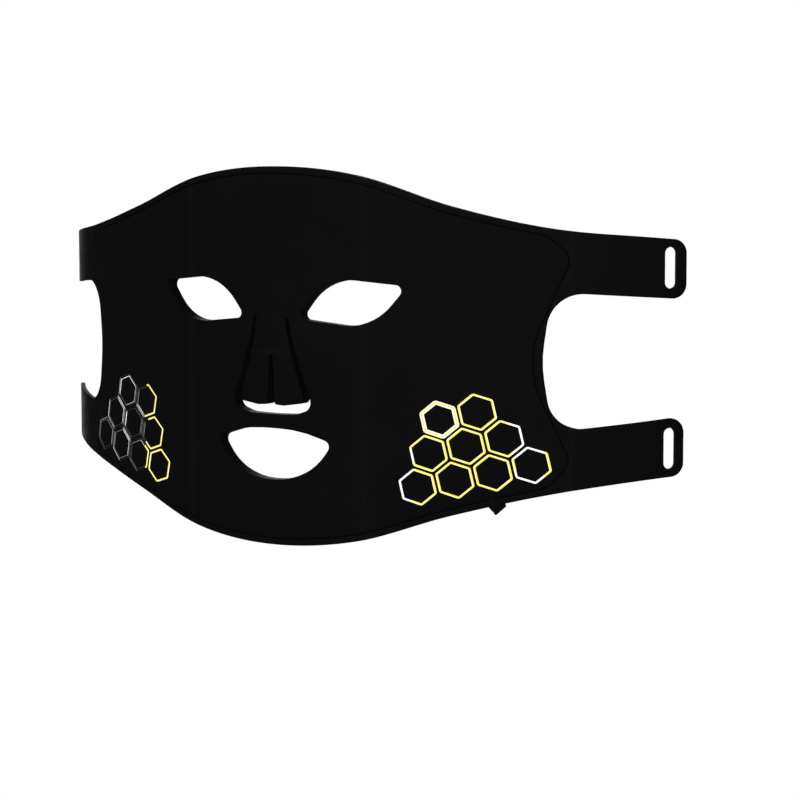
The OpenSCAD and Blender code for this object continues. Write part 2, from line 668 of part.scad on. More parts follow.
front_cover_centre();
front_cover_left();
front_cover_right();
rear_shell_centre();
rear_shell_left();
rear_shell_right();
foam_backing_centre();
foam_backing_left();
foam_backing_right();
flex_circuit_centre();
flex_circuit_left();
flex_circuit_right();
reflector_film_centre();
reflector_film_left();
reflector_film_right();
leds_centre();
leds_left();
leds_right();
led_lenses_centre();
led_lenses_left();
led_lenses_right();
honeycomb_rings_left();
honeycomb_rings_right();
honeycomb_print_left();
honeycomb_print_right();
strap_tab_left_upper();
strap_tab_left_lower();
strap_tab_right_upper();
strap_tab_right_lower();
nose_bridge_cover();
nose_bridge_pad();
nose_flex_strip();
nose_leds();
nose_lenses();
nose_flap_left_cover();
nose_flap_left_pad();
nose_flap_right_cover();
nose_flap_right_pad();
jack_boot();
jack_barrel();
jack_contact();
jack_wires();
temperature_sensor();
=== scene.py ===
"""A curved black silicone face panel with lamps in its skin side.

The panel has eye, mouth and nose openings, a hinged nose bridge with two flaps, four slotted strap
tabs, a thin cover set into its outer face and honeycomb lines on both cheeks.
It stands upright: +Z is up, -Y is the outer face, +Y the skin side, and +X is called left.
The mirror plane is x = 0. Pieces are drawn flat in mm and bent into place in metres.
"""
import json
import math

import bmesh
import bpy
import numpy as np
from mathutils import Matrix, Vector, geometry


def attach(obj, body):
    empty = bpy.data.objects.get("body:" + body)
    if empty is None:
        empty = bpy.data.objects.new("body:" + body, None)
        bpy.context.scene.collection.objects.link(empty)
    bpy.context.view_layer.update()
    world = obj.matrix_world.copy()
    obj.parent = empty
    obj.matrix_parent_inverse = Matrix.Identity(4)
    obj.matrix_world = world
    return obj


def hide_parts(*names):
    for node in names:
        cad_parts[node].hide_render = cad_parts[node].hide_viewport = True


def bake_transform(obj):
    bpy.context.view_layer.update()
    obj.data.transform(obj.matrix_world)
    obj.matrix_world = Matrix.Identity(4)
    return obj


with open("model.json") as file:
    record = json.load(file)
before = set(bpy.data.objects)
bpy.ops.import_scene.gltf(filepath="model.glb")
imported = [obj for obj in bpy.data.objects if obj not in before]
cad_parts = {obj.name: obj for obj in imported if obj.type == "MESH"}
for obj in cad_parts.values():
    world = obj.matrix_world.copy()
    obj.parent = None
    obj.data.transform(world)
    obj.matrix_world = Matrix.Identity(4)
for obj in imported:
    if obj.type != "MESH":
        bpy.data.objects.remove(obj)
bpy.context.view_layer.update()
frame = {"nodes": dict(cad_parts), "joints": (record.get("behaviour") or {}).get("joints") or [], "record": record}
JOINTS = {j["name"]: j for j in frame["joints"]}
MOUNTS = {m["name"]: m for m in frame["record"]["mounts"]}

# ---------------------------------------------------------------- sizes, in mm
# Flat pattern: s along the bend from the mirror plane, z up, depth below the outer face.
MM = 0.001
FRONT_R, SIDE_R = 314.0, 174.0      # radii of the bend
BEND_S = 140.0                      # s where the radius changes
THICK, TAB_THICK, COVER_THICK = 7.2, 2.6, 1.4
SHEET_H = 195.0
HINGE_DEPTH = 0.9
FACE_Y = JOINTS["nose_bridge_bend"]["pos_m"][1] * 1000 - HINGE_DEPTH
BEND_ANGLE = BEND_S / FRONT_R
SIDE_X = (FRONT_R - SIDE_R) * math.sin(BEND_ANGLE)
SIDE_Y = FRONT_R - (FRONT_R - SIDE_R) * math.cos(BEND_ANGLE)

MID_S = 55.0            # the centre piece meets the side pieces here, between two columns of lamps
CUT_S = 161.0           # the side pieces meet the strap tabs here
RIM_W = 3.4             # width of the rim outside the cover
COVER_GAP = 0.42        # groove between rim and cover
LEDGE = COVER_THICK + 0.05
OPEN_R, SEAM_R, COVER_R, WINDOW_EDGE_R, SLOT_EDGE_R = 0.55, 0.22, 0.3, 0.25, 0.45
EAR_S = 146.5           # innermost reach of the ear opening
TAB_END, LOWER_TAB_SHORTER, TAB_CORNER_R = 219.6, 0.9, 7.2
TAB_Z = {"upper": 46.9, "lower": -42.9}
SLOT_L, SLOT_W, SLOT_S = 20.5, 6.0, 211.0
HINGE_W, HINGE_Z = 8.9, 19.2        # half width and height of the nose bridge at its top
SLIT_R = 1.1
NOSE_CUT = 2.6                      # z where the nose bridge meets its flaps
WINDOW_R, WINDOW_FLOOR = 3.5, 2.5
LENS_REACH = 7.6        # vertices of one lens lie within this distance

ROUND_STEPS = 4         # steps across a rounded edge
ARC_STEP = 7.0          # degrees
CUT_STEP = 3.2
EDGE_STEP = 2.4
NOSE_STEP = 1.6
GRID, TAB_GRID, NOSE_GRID = (3.5, 4.2), (1.6, 3.0), (2.2, 1.6)      # lattice steps in s and z
OUTER, SKIN = 1, -1     # the two faces of a piece

# Height of the top and bottom edges from z = 0, at s = -50, 0, 50 ... 300
STATION_STEP, LAST_S = 50, 249
TOP_STATIONS = [92.6, SHEET_H / 2, 92.6, 77.4, 66.6, 62.1, 58.6, 57.1]
LOW_STATIONS = [92.5, SHEET_H / 2, 92.5, 77.2, 65.4, 58.3, 54.9, 53.3]


# ---------------------------------------------------------------- flat pattern
def bend_angle(along):
    reach = np.abs(along)
    angle = np.where(reach < BEND_S, reach / FRONT_R, BEND_ANGLE + (reach - BEND_S) / SIDE_R)
    return np.sign(along) * angle


def sheet(along, z, depth):
    """Flat pattern points bent into place, in metres."""
    along, z, depth = np.broadcast_arrays(*(np.asarray(v, float) for v in (along, z, depth)))
    angle, front = bend_angle(along), np.abs(along) < BEND_S
    turn = np.abs(angle)
    x = np.where(front, FRONT_R * np.sin(turn), SIDE_X + SIDE_R * np.sin(turn)) * np.sign(along)
    y = np.where(front, FRONT_R * (1 - np.cos(turn)), SIDE_Y - SIDE_R * np.cos(turn))
    return np.stack([x - depth * np.sin(angle), FACE_Y + y + depth * np.cos(angle), z], -1) * MM


def edge_height(stations, along):
    """Catmull-Rom curve through the stations."""
    place = min(abs(along), LAST_S) / STATION_STEP
    i = int(place)
    before, start, end, after = stations[i:i + 4]
    t = place - i
    return 0.5 * (2 * start + (end - before) * t
                  + (2 * before - 5 * start + 4 * end - after) * t * t
                  + (3 * start - before - 3 * end + after) * t ** 3)


def top_z(along):
    return edge_height(TOP_STATIONS, along)


def low_z(along):
    return -edge_height(LOW_STATIONS, along)


def ear_top(along):
    """Upper side of the ear opening, which is the lower side of the upper tab."""
    return 35.2 - 0.058 * (along - 151)


def ear_low(along):
    return -34 + 0.102 * (along - 151)


def unit(vector):
    return vector / np.linalg.norm(vector)


def rounded(corners):
    """Corners (s, z, radius) joined by straight lines; a corner with a radius becomes an arc."""
    out = []
    for i, (x, z, radius) in enumerate(corners):
        corner = np.array([x, z], float)
        if radius == 0:
            out.append(corner)
            continue
        back = unit(np.array(corners[i - 1][:2], float) - corner)
        ahead = unit(np.array(corners[(i + 1) % len(corners)][:2], float) - corner)
        half = math.acos(max(-1, min(1, back @ ahead))) / 2
        centre = corner + unit(back + ahead) * radius / math.sin(half)
        first = corner + back * radius / math.tan(half) - centre
        last = corner + ahead * radius / math.tan(half) - centre
        start = math.atan2(first[1], first[0])
        turn = (math.atan2(last[1], last[0]) - start + 3 * math.pi) % (2 * math.pi) - math.pi
        count = max(3, math.ceil(abs(math.degrees(turn)) / ARC_STEP))
        for k in range(count + 1):
            angle = start + turn * k / count
            out.append(centre + radius * np.array([math.cos(angle), math.sin(angle)]))
    return np.array(out)


def fine(path, step=EDGE_STEP):
    """Straight stretches split so that no segment is longer than step."""
    out = [path[0]]
    for a, b in zip(path[:-1], path[1:]):
        count = max(1, math.ceil(np.linalg.norm(b - a) / step))
        out += [a + (b - a) * k / count for k in range(1, count + 1)]
    return np.array(out)


def cut_line(start, end):
    """A line where two pieces meet: both pieces call it with the same ends, to share points."""
    start, end = np.array(start, float), np.array(end, float)
    count = max(1, round(np.linalg.norm(end - start) / CUT_STEP))
    return np.array([start + (end - start) * k / count for k in range(count + 1)])


def edge_line(edge_z, start, end, inset=0.0):
    """A line along the top or bottom edge, moved into the sheet by inset."""
    count = max(2, round(abs(end - start) / EDGE_STEP) + 1)
    return np.array([[s, edge_z(s) - math.copysign(inset, edge_z(s))]
                     for s in np.linspace(start, end, count)])


def crossing(path, along):
    """First point of the path at the given s."""
    for a, b in zip(path[:-1], path[1:]):
        if (a[0] - along) * (b[0] - along) <= 0 and a[0] != b[0]:
            return np.array([along, a[1] + (b[1] - a[1]) * (along - a[0]) / (b[0] - a[0])])
    raise ValueError(along)


def flip_path(path):
    """The mirror image of a path, walked the other way."""
    return (path * np.array([-1, 1]))[::-1]


def both_sides(half):
    """A path that ends on the mirror plane, continued by its mirror image."""
    return np.vstack([half, flip_path(half)[1:]])


def smooth(t):
    t = np.clip(t, 0, 1)
    return t * t * (3 - 2 * t)


def tab_back(along):
    """Depth of the skin side: the tabs are thinner than the lit part."""
    return THICK - (THICK - TAB_THICK) * smooth((np.abs(along) - CUT_S) / 4.5)


def edge_radius(along):
    return float(0.8 - 0.2 * smooth((abs(along) - CUT_S) / 5))


def value_at(value, along):
    """Depths and radii are numbers or functions of s."""
    return value(along) if callable(value) else value


# ---------------------------------------------------------------- measured outlines
# Corner rows are s, z, radius; rows of two are s, z.
EAR = fine(rounded([
    [240, ear_top(240), 0], [151.3, ear_top(151.3), 18], [EAR_S - 0.6, 0, 60],
    [151.6, ear_low(151.6), 16], [240, ear_low(240), 0]]))
# Outer end of the cover, from top to bottom
SIDE = rounded([
    [125, top_z(125) - RIM_W, 0], [149, top_z(149) - RIM_W - 0.3, 13], [161.6, 52.3, 8],
    [EAR_S - 4.3, 10, 40], [EAR_S - 4.2, -10, 40], [161.3, -49.3, 8],
    [150, low_z(150) + RIM_W + 0.2, 12], [125, low_z(125) + RIM_W, 0]])
EYE = fine(rounded([
    [78.1, 37.5, 3], [46.9, 40.3, 25], [30.6, 37.7, 31],
    [16.4, 19.9, 2.8], [50, 16.5, 30], [64.8, 22.1, 31]]))[::-1]
# +X halves of the mouth and nose openings, from top to bottom
MOUTH = fine(rounded([
    [0, -36.9, 0], [18, -36.9, 80], [36.8, -43.3, 3.2],
    [26.9, -57, 33], [9.1, -63.5, 43], [0, -63.5, 0]]))
SLIT_TOP = np.array([[HINGE_W + SLIT_R + SLIT_R * math.cos(a), HINGE_Z + SLIT_R * math.sin(a)]
                     for a in np.linspace(math.pi, 0, 9)])
NOSE = fine(np.vstack([
    SLIT_TOP, [[13.4, 9], [16.2, 0]],
    rounded([[22.6, -17.6, 0], [25.8, -25.8, 5], [15, -29.3, 20], [0, -29.6, 0]])]), 2.0)
# Outer side of the nose bridge and flap, then the lower edge of the flap
TONGUE = np.array([[HINGE_W, HINGE_Z], [10.9, 9], [13, 0], [16.3, -10], [19.3, -18.6]])
FLAP_LOW = rounded([[19.3, -18.6, 0], [21.1, -23.1, 2.6], [8, -25, 9],
                    [2.4, -24.6, 1.2], [2.2, -21.8, 0]])
# Inner side of a flap, from its top
FLAP_SLIT = np.array([[0, 1.3], [0.42, 1.2], [0.76, 0.9], [0.97, 0.45],
                      [1.04, -0.2], [2.2, -21.8]])

# The ear opening, from the lower tab to the upper one
EAR_UP = EAR[::-1]
ear_lo, ear_hi = crossing(EAR_UP, CUT_S), crossing(EAR, CUT_S)
ear_inner = np.array([ear_lo] + [p for p in EAR_UP if p[0] < CUT_S - 0.3] + [ear_hi])
arm_lo = cut_line([CUT_S, low_z(CUT_S)], ear_lo)
arm_hi = cut_line(ear_hi, [CUT_S, top_z(CUT_S)])
nose_top = both_sides(flip_path(cut_line([0, HINGE_Z], [HINGE_W, HINGE_Z])))


def seam(gap):
    """Edge of the cover on a side piece, from the bottom round the side to the top,
    moved inwards by gap."""
    inset = RIM_W + gap
    lower = [[s, low_z(s) + inset] for s in np.linspace(0, 130, 54)]
    upper = [[s, top_z(s) - inset] for s in np.linspace(130, 0, 54)]
    outer = []
    for i in range(len(SIDE) - 2, 0, -1):
        forward = unit(SIDE[i - 1] - SIDE[i + 1])
        point = SIDE[i] - gap * np.array([forward[1], -forward[0]])
        if point[0] > 131.5:
            outer.append(point)
    path = fine(np.array(lower + outer + upper), 2.6)
    kept = [p for p in path if p[0] > MID_S + 0.6]
    return np.array([[MID_S, low_z(MID_S) + inset]] + kept + [[MID_S, top_z(MID_S) - inset]])


def split_eye():
    """The eye outline on either side of MID_S, and the lower and upper points between them."""
    closed = np.vstack([EYE, EYE[:1]])
    hits = [(i, crossing(closed[i:i + 2], MID_S)) for i in range(len(EYE))
            if (closed[i][0] - MID_S) * (closed[i + 1][0] - MID_S) < 0]
    low, high = sorted(hits, key=lambda hit: hit[1][1])

    def walk(start, end):
        first, last = start[1], end[1]
        out, k = [first], (start[0] + 1) % len(EYE)
        while k != (end[0] + 1) % len(EYE):
            if min(np.linalg.norm(EYE[k] - first), np.linalg.norm(EYE[k] - last)) > 0.3:
                out.append(EYE[k])
            k = (k + 1) % len(EYE)
        return np.array(out + [last])
    return walk(low, high), walk(high, low), low[1], high[1]


eye_inner, eye_outer, eye_bottom, eye_top = split_eye()


# ---------------------------------------------------------------- mesh patches
class Outline:
    """A closed outline with the material on its left.

    Runs are (points, radius): radius None marks a line where two pieces meet, 0 a plain edge,
    above 0 an edge rounded by that radius, which may be a function of s.
    """

    def __init__(self, runs):
        self.points = np.array([p for path, _ in runs for p in path[:-1]], float)
        self.cut = np.array([radius is None for path, radius in runs for _ in path[:-1]])
        count = len(self.points)
        self.inward = np.zeros((count, 2))
        self.radius = np.zeros(count)
        first = 0
        for path, radius in runs:
            last = first + len(path) - 1
            if radius is not None:
                for i in range(first, last + 1):
                    k = i % count
                    here = value_at(radius, self.points[k][0])
                    self.radius[k] = max(self.radius[k], here)
            first = last
        for i in range(count):
            self.set_inward(i, self.points[i - 1], self.points[i], self.points[(i + 1) % count])
        # corners keep to their line when the neighbours differ a little
        self.inward = np.round(self.inward, 5)

    def set_inward(self, i, before, here, after):
        """Direction in which a rounded edge moves point i; along the cut where it meets one."""
        edge_in, edge_out = unit(here - before), unit(after - here)
        normal_in = np.array([-edge_in[1], edge_in[0]])
        normal_out = np.array([-edge_out[1], edge_out[0]])
        cut_in, cut_out = self.cut[i - 1], self.cut[i]
        if cut_in and cut_out:
            self.radius[i] = 0
        elif cut_in:
            self.inward[i] = -edge_in / max(0.5, normal_out @ -edge_in)
        elif cut_out:
            self.inward[i] = edge_out / max(0.5, normal_in @ edge_out)
        else:
            self.inward[i] = (normal_in + normal_out) / max(0.4, 1 + normal_in @ normal_out)

    def level_hinge(self):
        """At the top corners of the nose bridge the edge moves straight sideways."""
        for i, (x, z) in enumerate(self.points):
            if abs(abs(x) - HINGE_W) < 1e-6 and abs(z - HINGE_Z) < 1e-6:
                self.inward[i] = (-math.copysign(1, x), 0)
        return self

    def inner(self):
        return self.points + self.inward * self.radius[:, None]


def inside(points, starts, ends):
    """Which points are inside the outlines, by crossings, in batches to save memory."""
    out = np.zeros(len(points), bool)
    for k in range(0, len(points), 4000):
        batch = points[k:k + 4000, None]
        spans = (starts[None, :, 1] > batch[..., 1]) != (ends[None, :, 1] > batch[..., 1])
        with np.errstate(divide="ignore", invalid="ignore"):
            x = ((ends[:, 0] - starts[:, 0]) * (batch[..., 1] - starts[None, :, 1])
                 / (ends[:, 1] - starts[:, 1])[None] + starts[None, :, 0])
        out[k:k + 4000] = (spans & (batch[..., 0] < x)).sum(1) % 2 == 1
    return out


def distance(points, starts, ends):
    """Distance from each point to the nearest outline segment."""
    out = np.zeros(len(points))
    along = ends - starts
    length2 = np.maximum((along ** 2).sum(1), 1e-12)
    for k in range(0, len(points), 2000):
        batch = points[k:k + 2000, None]
        t = np.clip(((batch - starts) * along).sum(-1) / length2, 0, 1)
        gap = starts + t[..., None] * along - batch
        out[k:k + 2000] = np.sqrt((gap ** 2).sum(-1)).min(1)
    return out


def link_object(name, mesh):
    obj = bpy.data.objects.new(name, mesh)
    bpy.context.scene.collection.objects.link(obj)
    return obj


def join_patches(bm):
    """Weld the patches of a piece into one closed skin."""
    bmesh.ops.remove_doubles(bm, verts=bm.verts, dist=2e-6)
    bmesh.ops.dissolve_degenerate(bm, dist=1e-7, edges=bm.edges)
    for _ in range(6):
        flaps = [q for q in bm.faces if any(len(e.link_faces) == 1 for e in q.edges)
                 and any(len(e.link_faces) > 2 for e in q.edges)]
        bmesh.ops.delete(bm, geom=flaps, context="FACES")
    # the cut ends are still open
    rim = [e for e in bm.edges if e.is_boundary]
    if rim:
        caps = bmesh.ops.holes_fill(bm, edges=rim, sides=0)["faces"]
        bmesh.ops.triangulate(bm, faces=caps, ngon_method="EAR_CLIP")
    loose = [v for v in bm.verts if not v.link_faces]
    bmesh.ops.delete(bm, geom=loose, context="VERTS")


def make_object(name, verts, faces, sharp, mirror=False, join=False):
    """A smooth-shaded object from points in metres; sharp is the crease angle in degrees."""
    if mirror:
        verts = verts * np.array([-1, 1, 1])
        faces = [q[::-1] for q in faces]
    mesh = bpy.data.meshes.new(name)
    mesh.from_pydata(verts.tolist(), [], faces)
    bm = bmesh.new()
    bm.from_mesh(mesh)
    if join:
        join_patches(bm)
    bmesh.ops.recalc_face_normals(bm, faces=bm.faces)
    bm.to_mesh(mesh)
    bm.free()
    for polygon in mesh.polygons:
        polygon.use_smooth = True
    mesh.set_sharp_from_angle(angle=math.radians(sharp))
    return link_object(name, mesh)


class Builder:
    """Collects the patches of one piece."""

    def __init__(self):
        self.verts, self.faces, self.count = [], [], 0

    def add(self, verts, faces):
        self.verts.append(np.asarray(verts, float))
        self.faces += [tuple(int(i) + self.count for i in f) for f in faces]
        self.count += len(verts)

    def round_edge(self, outline, depth, side):
        """The rounded edge of the face at depth, on the OUTER or the SKIN side."""
        count = len(outline.points)
        rings = []
        for k in range(ROUND_STEPS + 1):
            angle = math.pi / 2 * k / ROUND_STEPS
            inset = outline.radius * (1 - math.cos(angle))
            ring = outline.points + outline.inward * inset[:, None]
            drop = side * outline.radius * (1 - math.sin(angle))
            rings.append(sheet(ring[:, 0], ring[:, 1], value_at(depth, ring[:, 0]) + drop))
        faces = []
        for k in range(ROUND_STEPS):
            for i in range(count):
                j = (i + 1) % count
                if outline.cut[i] or (outline.radius[i] == 0 and outline.radius[j] == 0):
                    continue
                row, above = k * count, (k + 1) * count
                quad = (row + i, row + j, above + j, above + i)
                faces.append(quad[::-1] if side == SKIN else quad)
        self.add(np.vstack(rings), faces)

    def wall(self, outline, start, end, parts=1):
        """Wall between two depths, along the edges of the outline that aren't cuts."""
        x, z = outline.points.T
        count = len(x)
        rows = [sheet(x, z, start + (end - start) * k / parts) for k in range(parts + 1)]
        faces = []
        for k in range(parts):
            row, below = k * count, (k + 1) * count
            for i in range(count):
                if not outline.cut[i]:
                    j = (i + 1) % count
                    faces.append((row + i, below + i, below + j, row + j))
        self.add(np.vstack(rows), faces)

    def face(self, outlines, depth, side, grid=GRID):
        """The flat part of a face inside its rounded edges: the first outline is the border,
        the rest are holes."""
        rings = [outline.inner() for outline in outlines]
        starts = np.vstack(rings)
        ends = np.vstack([np.roll(ring, -1, 0) for ring in rings])
        edges, first = [], 0
        for ring in rings:
            size = len(ring)
            edges += [(first + i, first + (i + 1) % size) for i in range(size)]
            first += size
        step_s, step_z = grid
        low, high = starts.min(0), starts.max(0)
        columns = np.arange(math.floor(low[0] / step_s) * step_s, high[0] + step_s, step_s)
        rows = np.arange(math.floor(low[1] / step_z) * step_z, high[1] + step_z, step_z)
        lattice = np.array([[x + (step_s / 2 if i % 2 else 0), z]
                            for i, z in enumerate(rows) for x in columns])
        lattice = lattice[inside(lattice, starts, ends)]
        lattice = lattice[distance(lattice, starts, ends) > 0.42 * min(step_s, step_z)]
        points = np.vstack([starts, lattice])
        result = geometry.delaunay_2d_cdt([Vector(p) for p in points], edges, [], 0, 1e-5, True)
        flat = np.array([list(v) for v in result[0]], float)
        triangles = np.array([f for f in result[2] if len(f) == 3], int)
        triangles = triangles[inside(flat[triangles].mean(1), starts, ends)]
        # exact positions where a point came from the input
        for i, source in enumerate(result[3]):
            if source:
                flat[i] = points[source[0]]
        corner = flat[triangles]
        area = np.cross(corner[:, 1] - corner[:, 0], corner[:, 2] - corner[:, 0])
        triangles[area < 0] = triangles[area < 0][:, ::-1]
        if side == SKIN:
            triangles = triangles[:, ::-1]
        x, z = flat.T
        self.add(sheet(x, z, value_at(depth, x)), triangles.tolist())

    def windows(self, centres):
        """Blind round holes from the skin side; gives their outlines."""
        outlines = []
        for centre in centres:
            outline = Outline([(circle(centre), WINDOW_EDGE_R)])
            outlines.append(outline)
            self.round_edge(outline, THICK, SKIN)
            self.wall(outline, WINDOW_FLOOR, THICK - outline.radius, 2)
            # the floor lies just above the circuit
            ring = outline.points[::-1]
            fan = np.vstack([ring, ring.mean(0)[None]])
            size = len(ring)
            self.add(sheet(fan[:, 0], fan[:, 1], WINDOW_FLOOR),
                     [((i + 1) % size, i, size) for i in range(size)])
        return outlines

    def make(self, name, sharp=38, mirror=False, join=True):
        return make_object(name, np.vstack(self.verts), self.faces, sharp, mirror, join)


# ---------------------------------------------------------------- lamp windows
def circle(centre):
    """Clockwise, so that the material is on its left."""
    return np.array([[centre[0] + WINDOW_R * math.cos(a), centre[1] + WINDOW_R * math.sin(a)]
                     for a in np.linspace(0, -2 * math.pi, 29)])


def lens_centres(node):
    """Flat-pattern centres of the lens solids of a node: clusters of its vertices."""
    verts = np.array([v.co for v in frame["nodes"][node].data.vertices], float) * 1000
    seen, out = np.zeros(len(verts), bool), []
    for i in range(len(verts)):
        if seen[i]:
            continue
        near = np.linalg.norm(verts - verts[i], axis=1) < LENS_REACH
        seen |= near
        centre = (verts[near].min(0) + verts[near].max(0)) / 2
        x, y = abs(centre[0]), centre[1] - FACE_Y
        along = math.atan2(x, FRONT_R - y) * FRONT_R
        if along >= BEND_S:
            angle = math.atan2(x - SIDE_X, SIDE_Y - y)
            along = BEND_S + (angle - BEND_ANGLE) * SIDE_R
        out.append((math.copysign(along, centre[0]) if x > 0.2 else 0.0, centre[2]))
    return out


CENTRE_LAMPS = lens_centres("led_lenses_centre")
SIDE_LAMPS = lens_centres("led_lenses_left")


# ---------------------------------------------------------------- outlines of the pieces
def centre_outlines(inset, border_r, open_r):
    """Border of the centre piece, moved in by inset, with its nose and mouth holes."""
    half = [(cut_line([MID_S, low_z(MID_S) + inset], eye_bottom), None), (eye_inner, open_r),
            (cut_line(eye_top, [MID_S, top_z(MID_S) - inset]), None)]
    other = [(flip_path(path), radius) for path, radius in half[::-1]]
    border = Outline([(edge_line(low_z, -MID_S, MID_S, inset), border_r)] + half
                     + [(edge_line(top_z, MID_S, -MID_S, inset), border_r)] + other)
    nose = Outline([(nose_top, None), (both_sides(NOSE), open_r)]).level_hinge()
    return [border, nose, Outline([(both_sides(MOUTH), open_r)])]


def side_outline(runs, open_r):
    """Runs go from (MID_S, bottom) round the side to (MID_S, top)."""
    bottom, top = runs[0][0][0], runs[-1][0][-1]
    return Outline(runs + [(cut_line(eye_top, top)[::-1], None), (eye_outer, open_r),
                           (cut_line(bottom, eye_bottom)[::-1], None)])


# ---------------------------------------------------------------- shell and cover
def add_rim(build, runs, seam_path):
    """Strip of outer face between an outside edge and the seam, and the wall of the groove."""
    strip = Outline(runs + [(cut_line(runs[-1][0][-1], seam_path[0]), None), (seam_path, SEAM_R),
                            (cut_line(runs[0][0][0], seam_path[-1])[::-1], None)])
    build.round_edge(strip, 0, OUTER)
    build.face([strip], 0, OUTER)
    groove = Outline([(seam_path, SEAM_R), (np.array([seam_path[-1], seam_path[0]]), None)])
    build.wall(groove, groove.radius, LEDGE)


def make_shell(name, rims, outlines, lamps, ledge, mirror=False):
    """Rims round a ledge that carries the cover, and the whole skin side."""
    build = Builder()
    for runs, seam_path in rims:
        add_rim(build, runs, seam_path)
    for outline in outlines:
        build.round_edge(outline, THICK, SKIN)
    for outline in outlines:
        # the openings have no rim, so their walls start at the ledge
        start = np.where(outline.radius == OPEN_R, LEDGE, outline.radius)
        build.wall(outline, start, THICK - outline.radius, 2)
    build.face(outlines + build.windows(lamps), THICK, SKIN)
    build.face(ledge, LEDGE, OUTER)
    return build.make(name, mirror=mirror)


def make_cover(name, outlines, back, mirror=False):
    build = Builder()
    for outline in outlines:
        build.round_edge(outline, 0, OUTER)
        build.wall(outline, outline.radius, COVER_THICK)
    build.face(outlines, 0, OUTER)
    build.face(back, COVER_THICK, SKIN)
    return build.make(name, mirror=mirror)


def shell_centre():
    rims = [([(edge_line(low_z, -MID_S, MID_S), edge_radius)],
             edge_line(low_z, MID_S, -MID_S, RIM_W)),
            ([(edge_line(top_z, MID_S, -MID_S), edge_radius)],
             edge_line(top_z, -MID_S, MID_S, RIM_W))]
    lamps = [c for c in CENTRE_LAMPS if abs(c[0]) < MID_S]
    return make_shell("shell_skin_centre", rims, centre_outlines(0, edge_radius, OPEN_R), lamps,
                      centre_outlines(RIM_W, 0, 0))


def cover_centre():
    inset = RIM_W + COVER_GAP
    return make_cover("cover_skin_centre", centre_outlines(inset, COVER_R, OPEN_R),
                      centre_outlines(inset, 0, 0))


def shell_side(side, tag):
    runs = [(edge_line(low_z, MID_S, CUT_S), edge_radius), (arm_lo, None),
            (ear_inner, edge_radius), (arm_hi, None),
            (edge_line(top_z, CUT_S, MID_S), edge_radius)]
    path = seam(0)
    lamps = [(abs(c[0]), c[1]) for c in CENTRE_LAMPS if c[0] * side > MID_S] + SIDE_LAMPS
    return make_shell("shell_skin_" + tag, [(runs, path[::-1])], [side_outline(runs, OPEN_R)],
                      lamps, [side_outline([(path, 0)], 0)], side < 0)


def cover_side(side, tag):
    path = seam(COVER_GAP)
    return make_cover("cover_skin_" + tag, [side_outline([(path, COVER_R)], OPEN_R)],
                      [side_outline([(path, 0)], 0)], side < 0)


# ---------------------------------------------------------------- tabs and nose pieces
def make_slab(name, outlines, back, parts, grid, lamps=(), mirror=False):
    """A plain slab with rounded edges on both faces."""
    build = Builder()
    for outline in outlines:
        build.round_edge(outline, 0, OUTER)
        build.round_edge(outline, back, SKIN)
        end = value_at(back, outline.points[:, 0]) - outline.radius
        build.wall(outline, outline.radius, end, parts)
    build.face(outlines, 0, OUTER, grid)
    build.face(outlines + build.windows(lamps), back, SKIN, grid)
    return build.make(name, mirror=mirror)


def corner_arc(x, z, start):
    """Quarter turn about (x, z), from the start angle in degrees."""
    return [[x + TAB_CORNER_R * math.cos(math.radians(a)),
             z + TAB_CORNER_R * math.sin(math.radians(a))]
            for a in np.linspace(start, start + 90, 12)]


def strap_slot(middle):
    """Clockwise outline of the slot, its ends half round."""
    radius, half = SLOT_W / 2, (SLOT_L - SLOT_W) / 2
    points = [[SLOT_S + radius * math.cos(a), z + radius * math.sin(a)]
              for z, start in ((middle + half, 0), (middle - half, math.pi))
              for a in np.linspace(start, start + math.pi, 15)]
    return fine(np.array(points + points[:1]))[::-1]


def strap_tab(side, tag, level):
    upper = level == "upper"
    end = TAB_END - (0 if upper else LOWER_TAB_SHORTER) - TAB_CORNER_R
    ear = [p for p in EAR_UP if CUT_S + 0.3 < p[0] < end - 1 and (p[1] > 0) == upper]
    if upper:
        points = ([ear_hi] + ear + corner_arc(end, ear_top(end) + TAB_CORNER_R, -90)
                  + corner_arc(end, top_z(end) - TAB_CORNER_R, 0)
                  + [[s, top_z(s)] for s in np.linspace(end, CUT_S, 22)][1:])
    else:
        points = ([[s, low_z(s)] for s in np.linspace(CUT_S, end, 22)][:-1]
                  + corner_arc(end, low_z(end) + TAB_CORNER_R, -90)
                  + corner_arc(end, ear_low(end) - TAB_CORNER_R, 0) + ear + [ear_lo])
    arm = arm_hi if upper else arm_lo
    border = Outline([(fine(np.array(points)), edge_radius), (arm[::-1], None)])
    slot = Outline([(strap_slot(TAB_Z[level]), SLOT_EDGE_R)])
    return make_slab(f"strap_tab_skin_{tag}_{level}", [border, slot], tab_back, 1, TAB_GRID,
                     mirror=side < 0)


nose_half_w = crossing(TONGUE[:, ::-1], NOSE_CUT)[1]
nose_cut_half = cut_line([0, NOSE_CUT], [nose_half_w, NOSE_CUT])


def nose_bridge():
    flank = np.vstack([[[nose_half_w, NOSE_CUT]], TONGUE[1::-1]])
    outline = Outline([(nose_top[::-1], None), (fine(flip_path(flank), NOSE_STEP), OPEN_R),
                       (both_sides(flip_path(nose_cut_half)), None),
                       (fine(flank, NOSE_STEP), OPEN_R)]).level_hinge()
    return make_slab("nose_bridge_skin", [outline], THICK, 2, NOSE_GRID,
                     lens_centres("nose_lenses"))


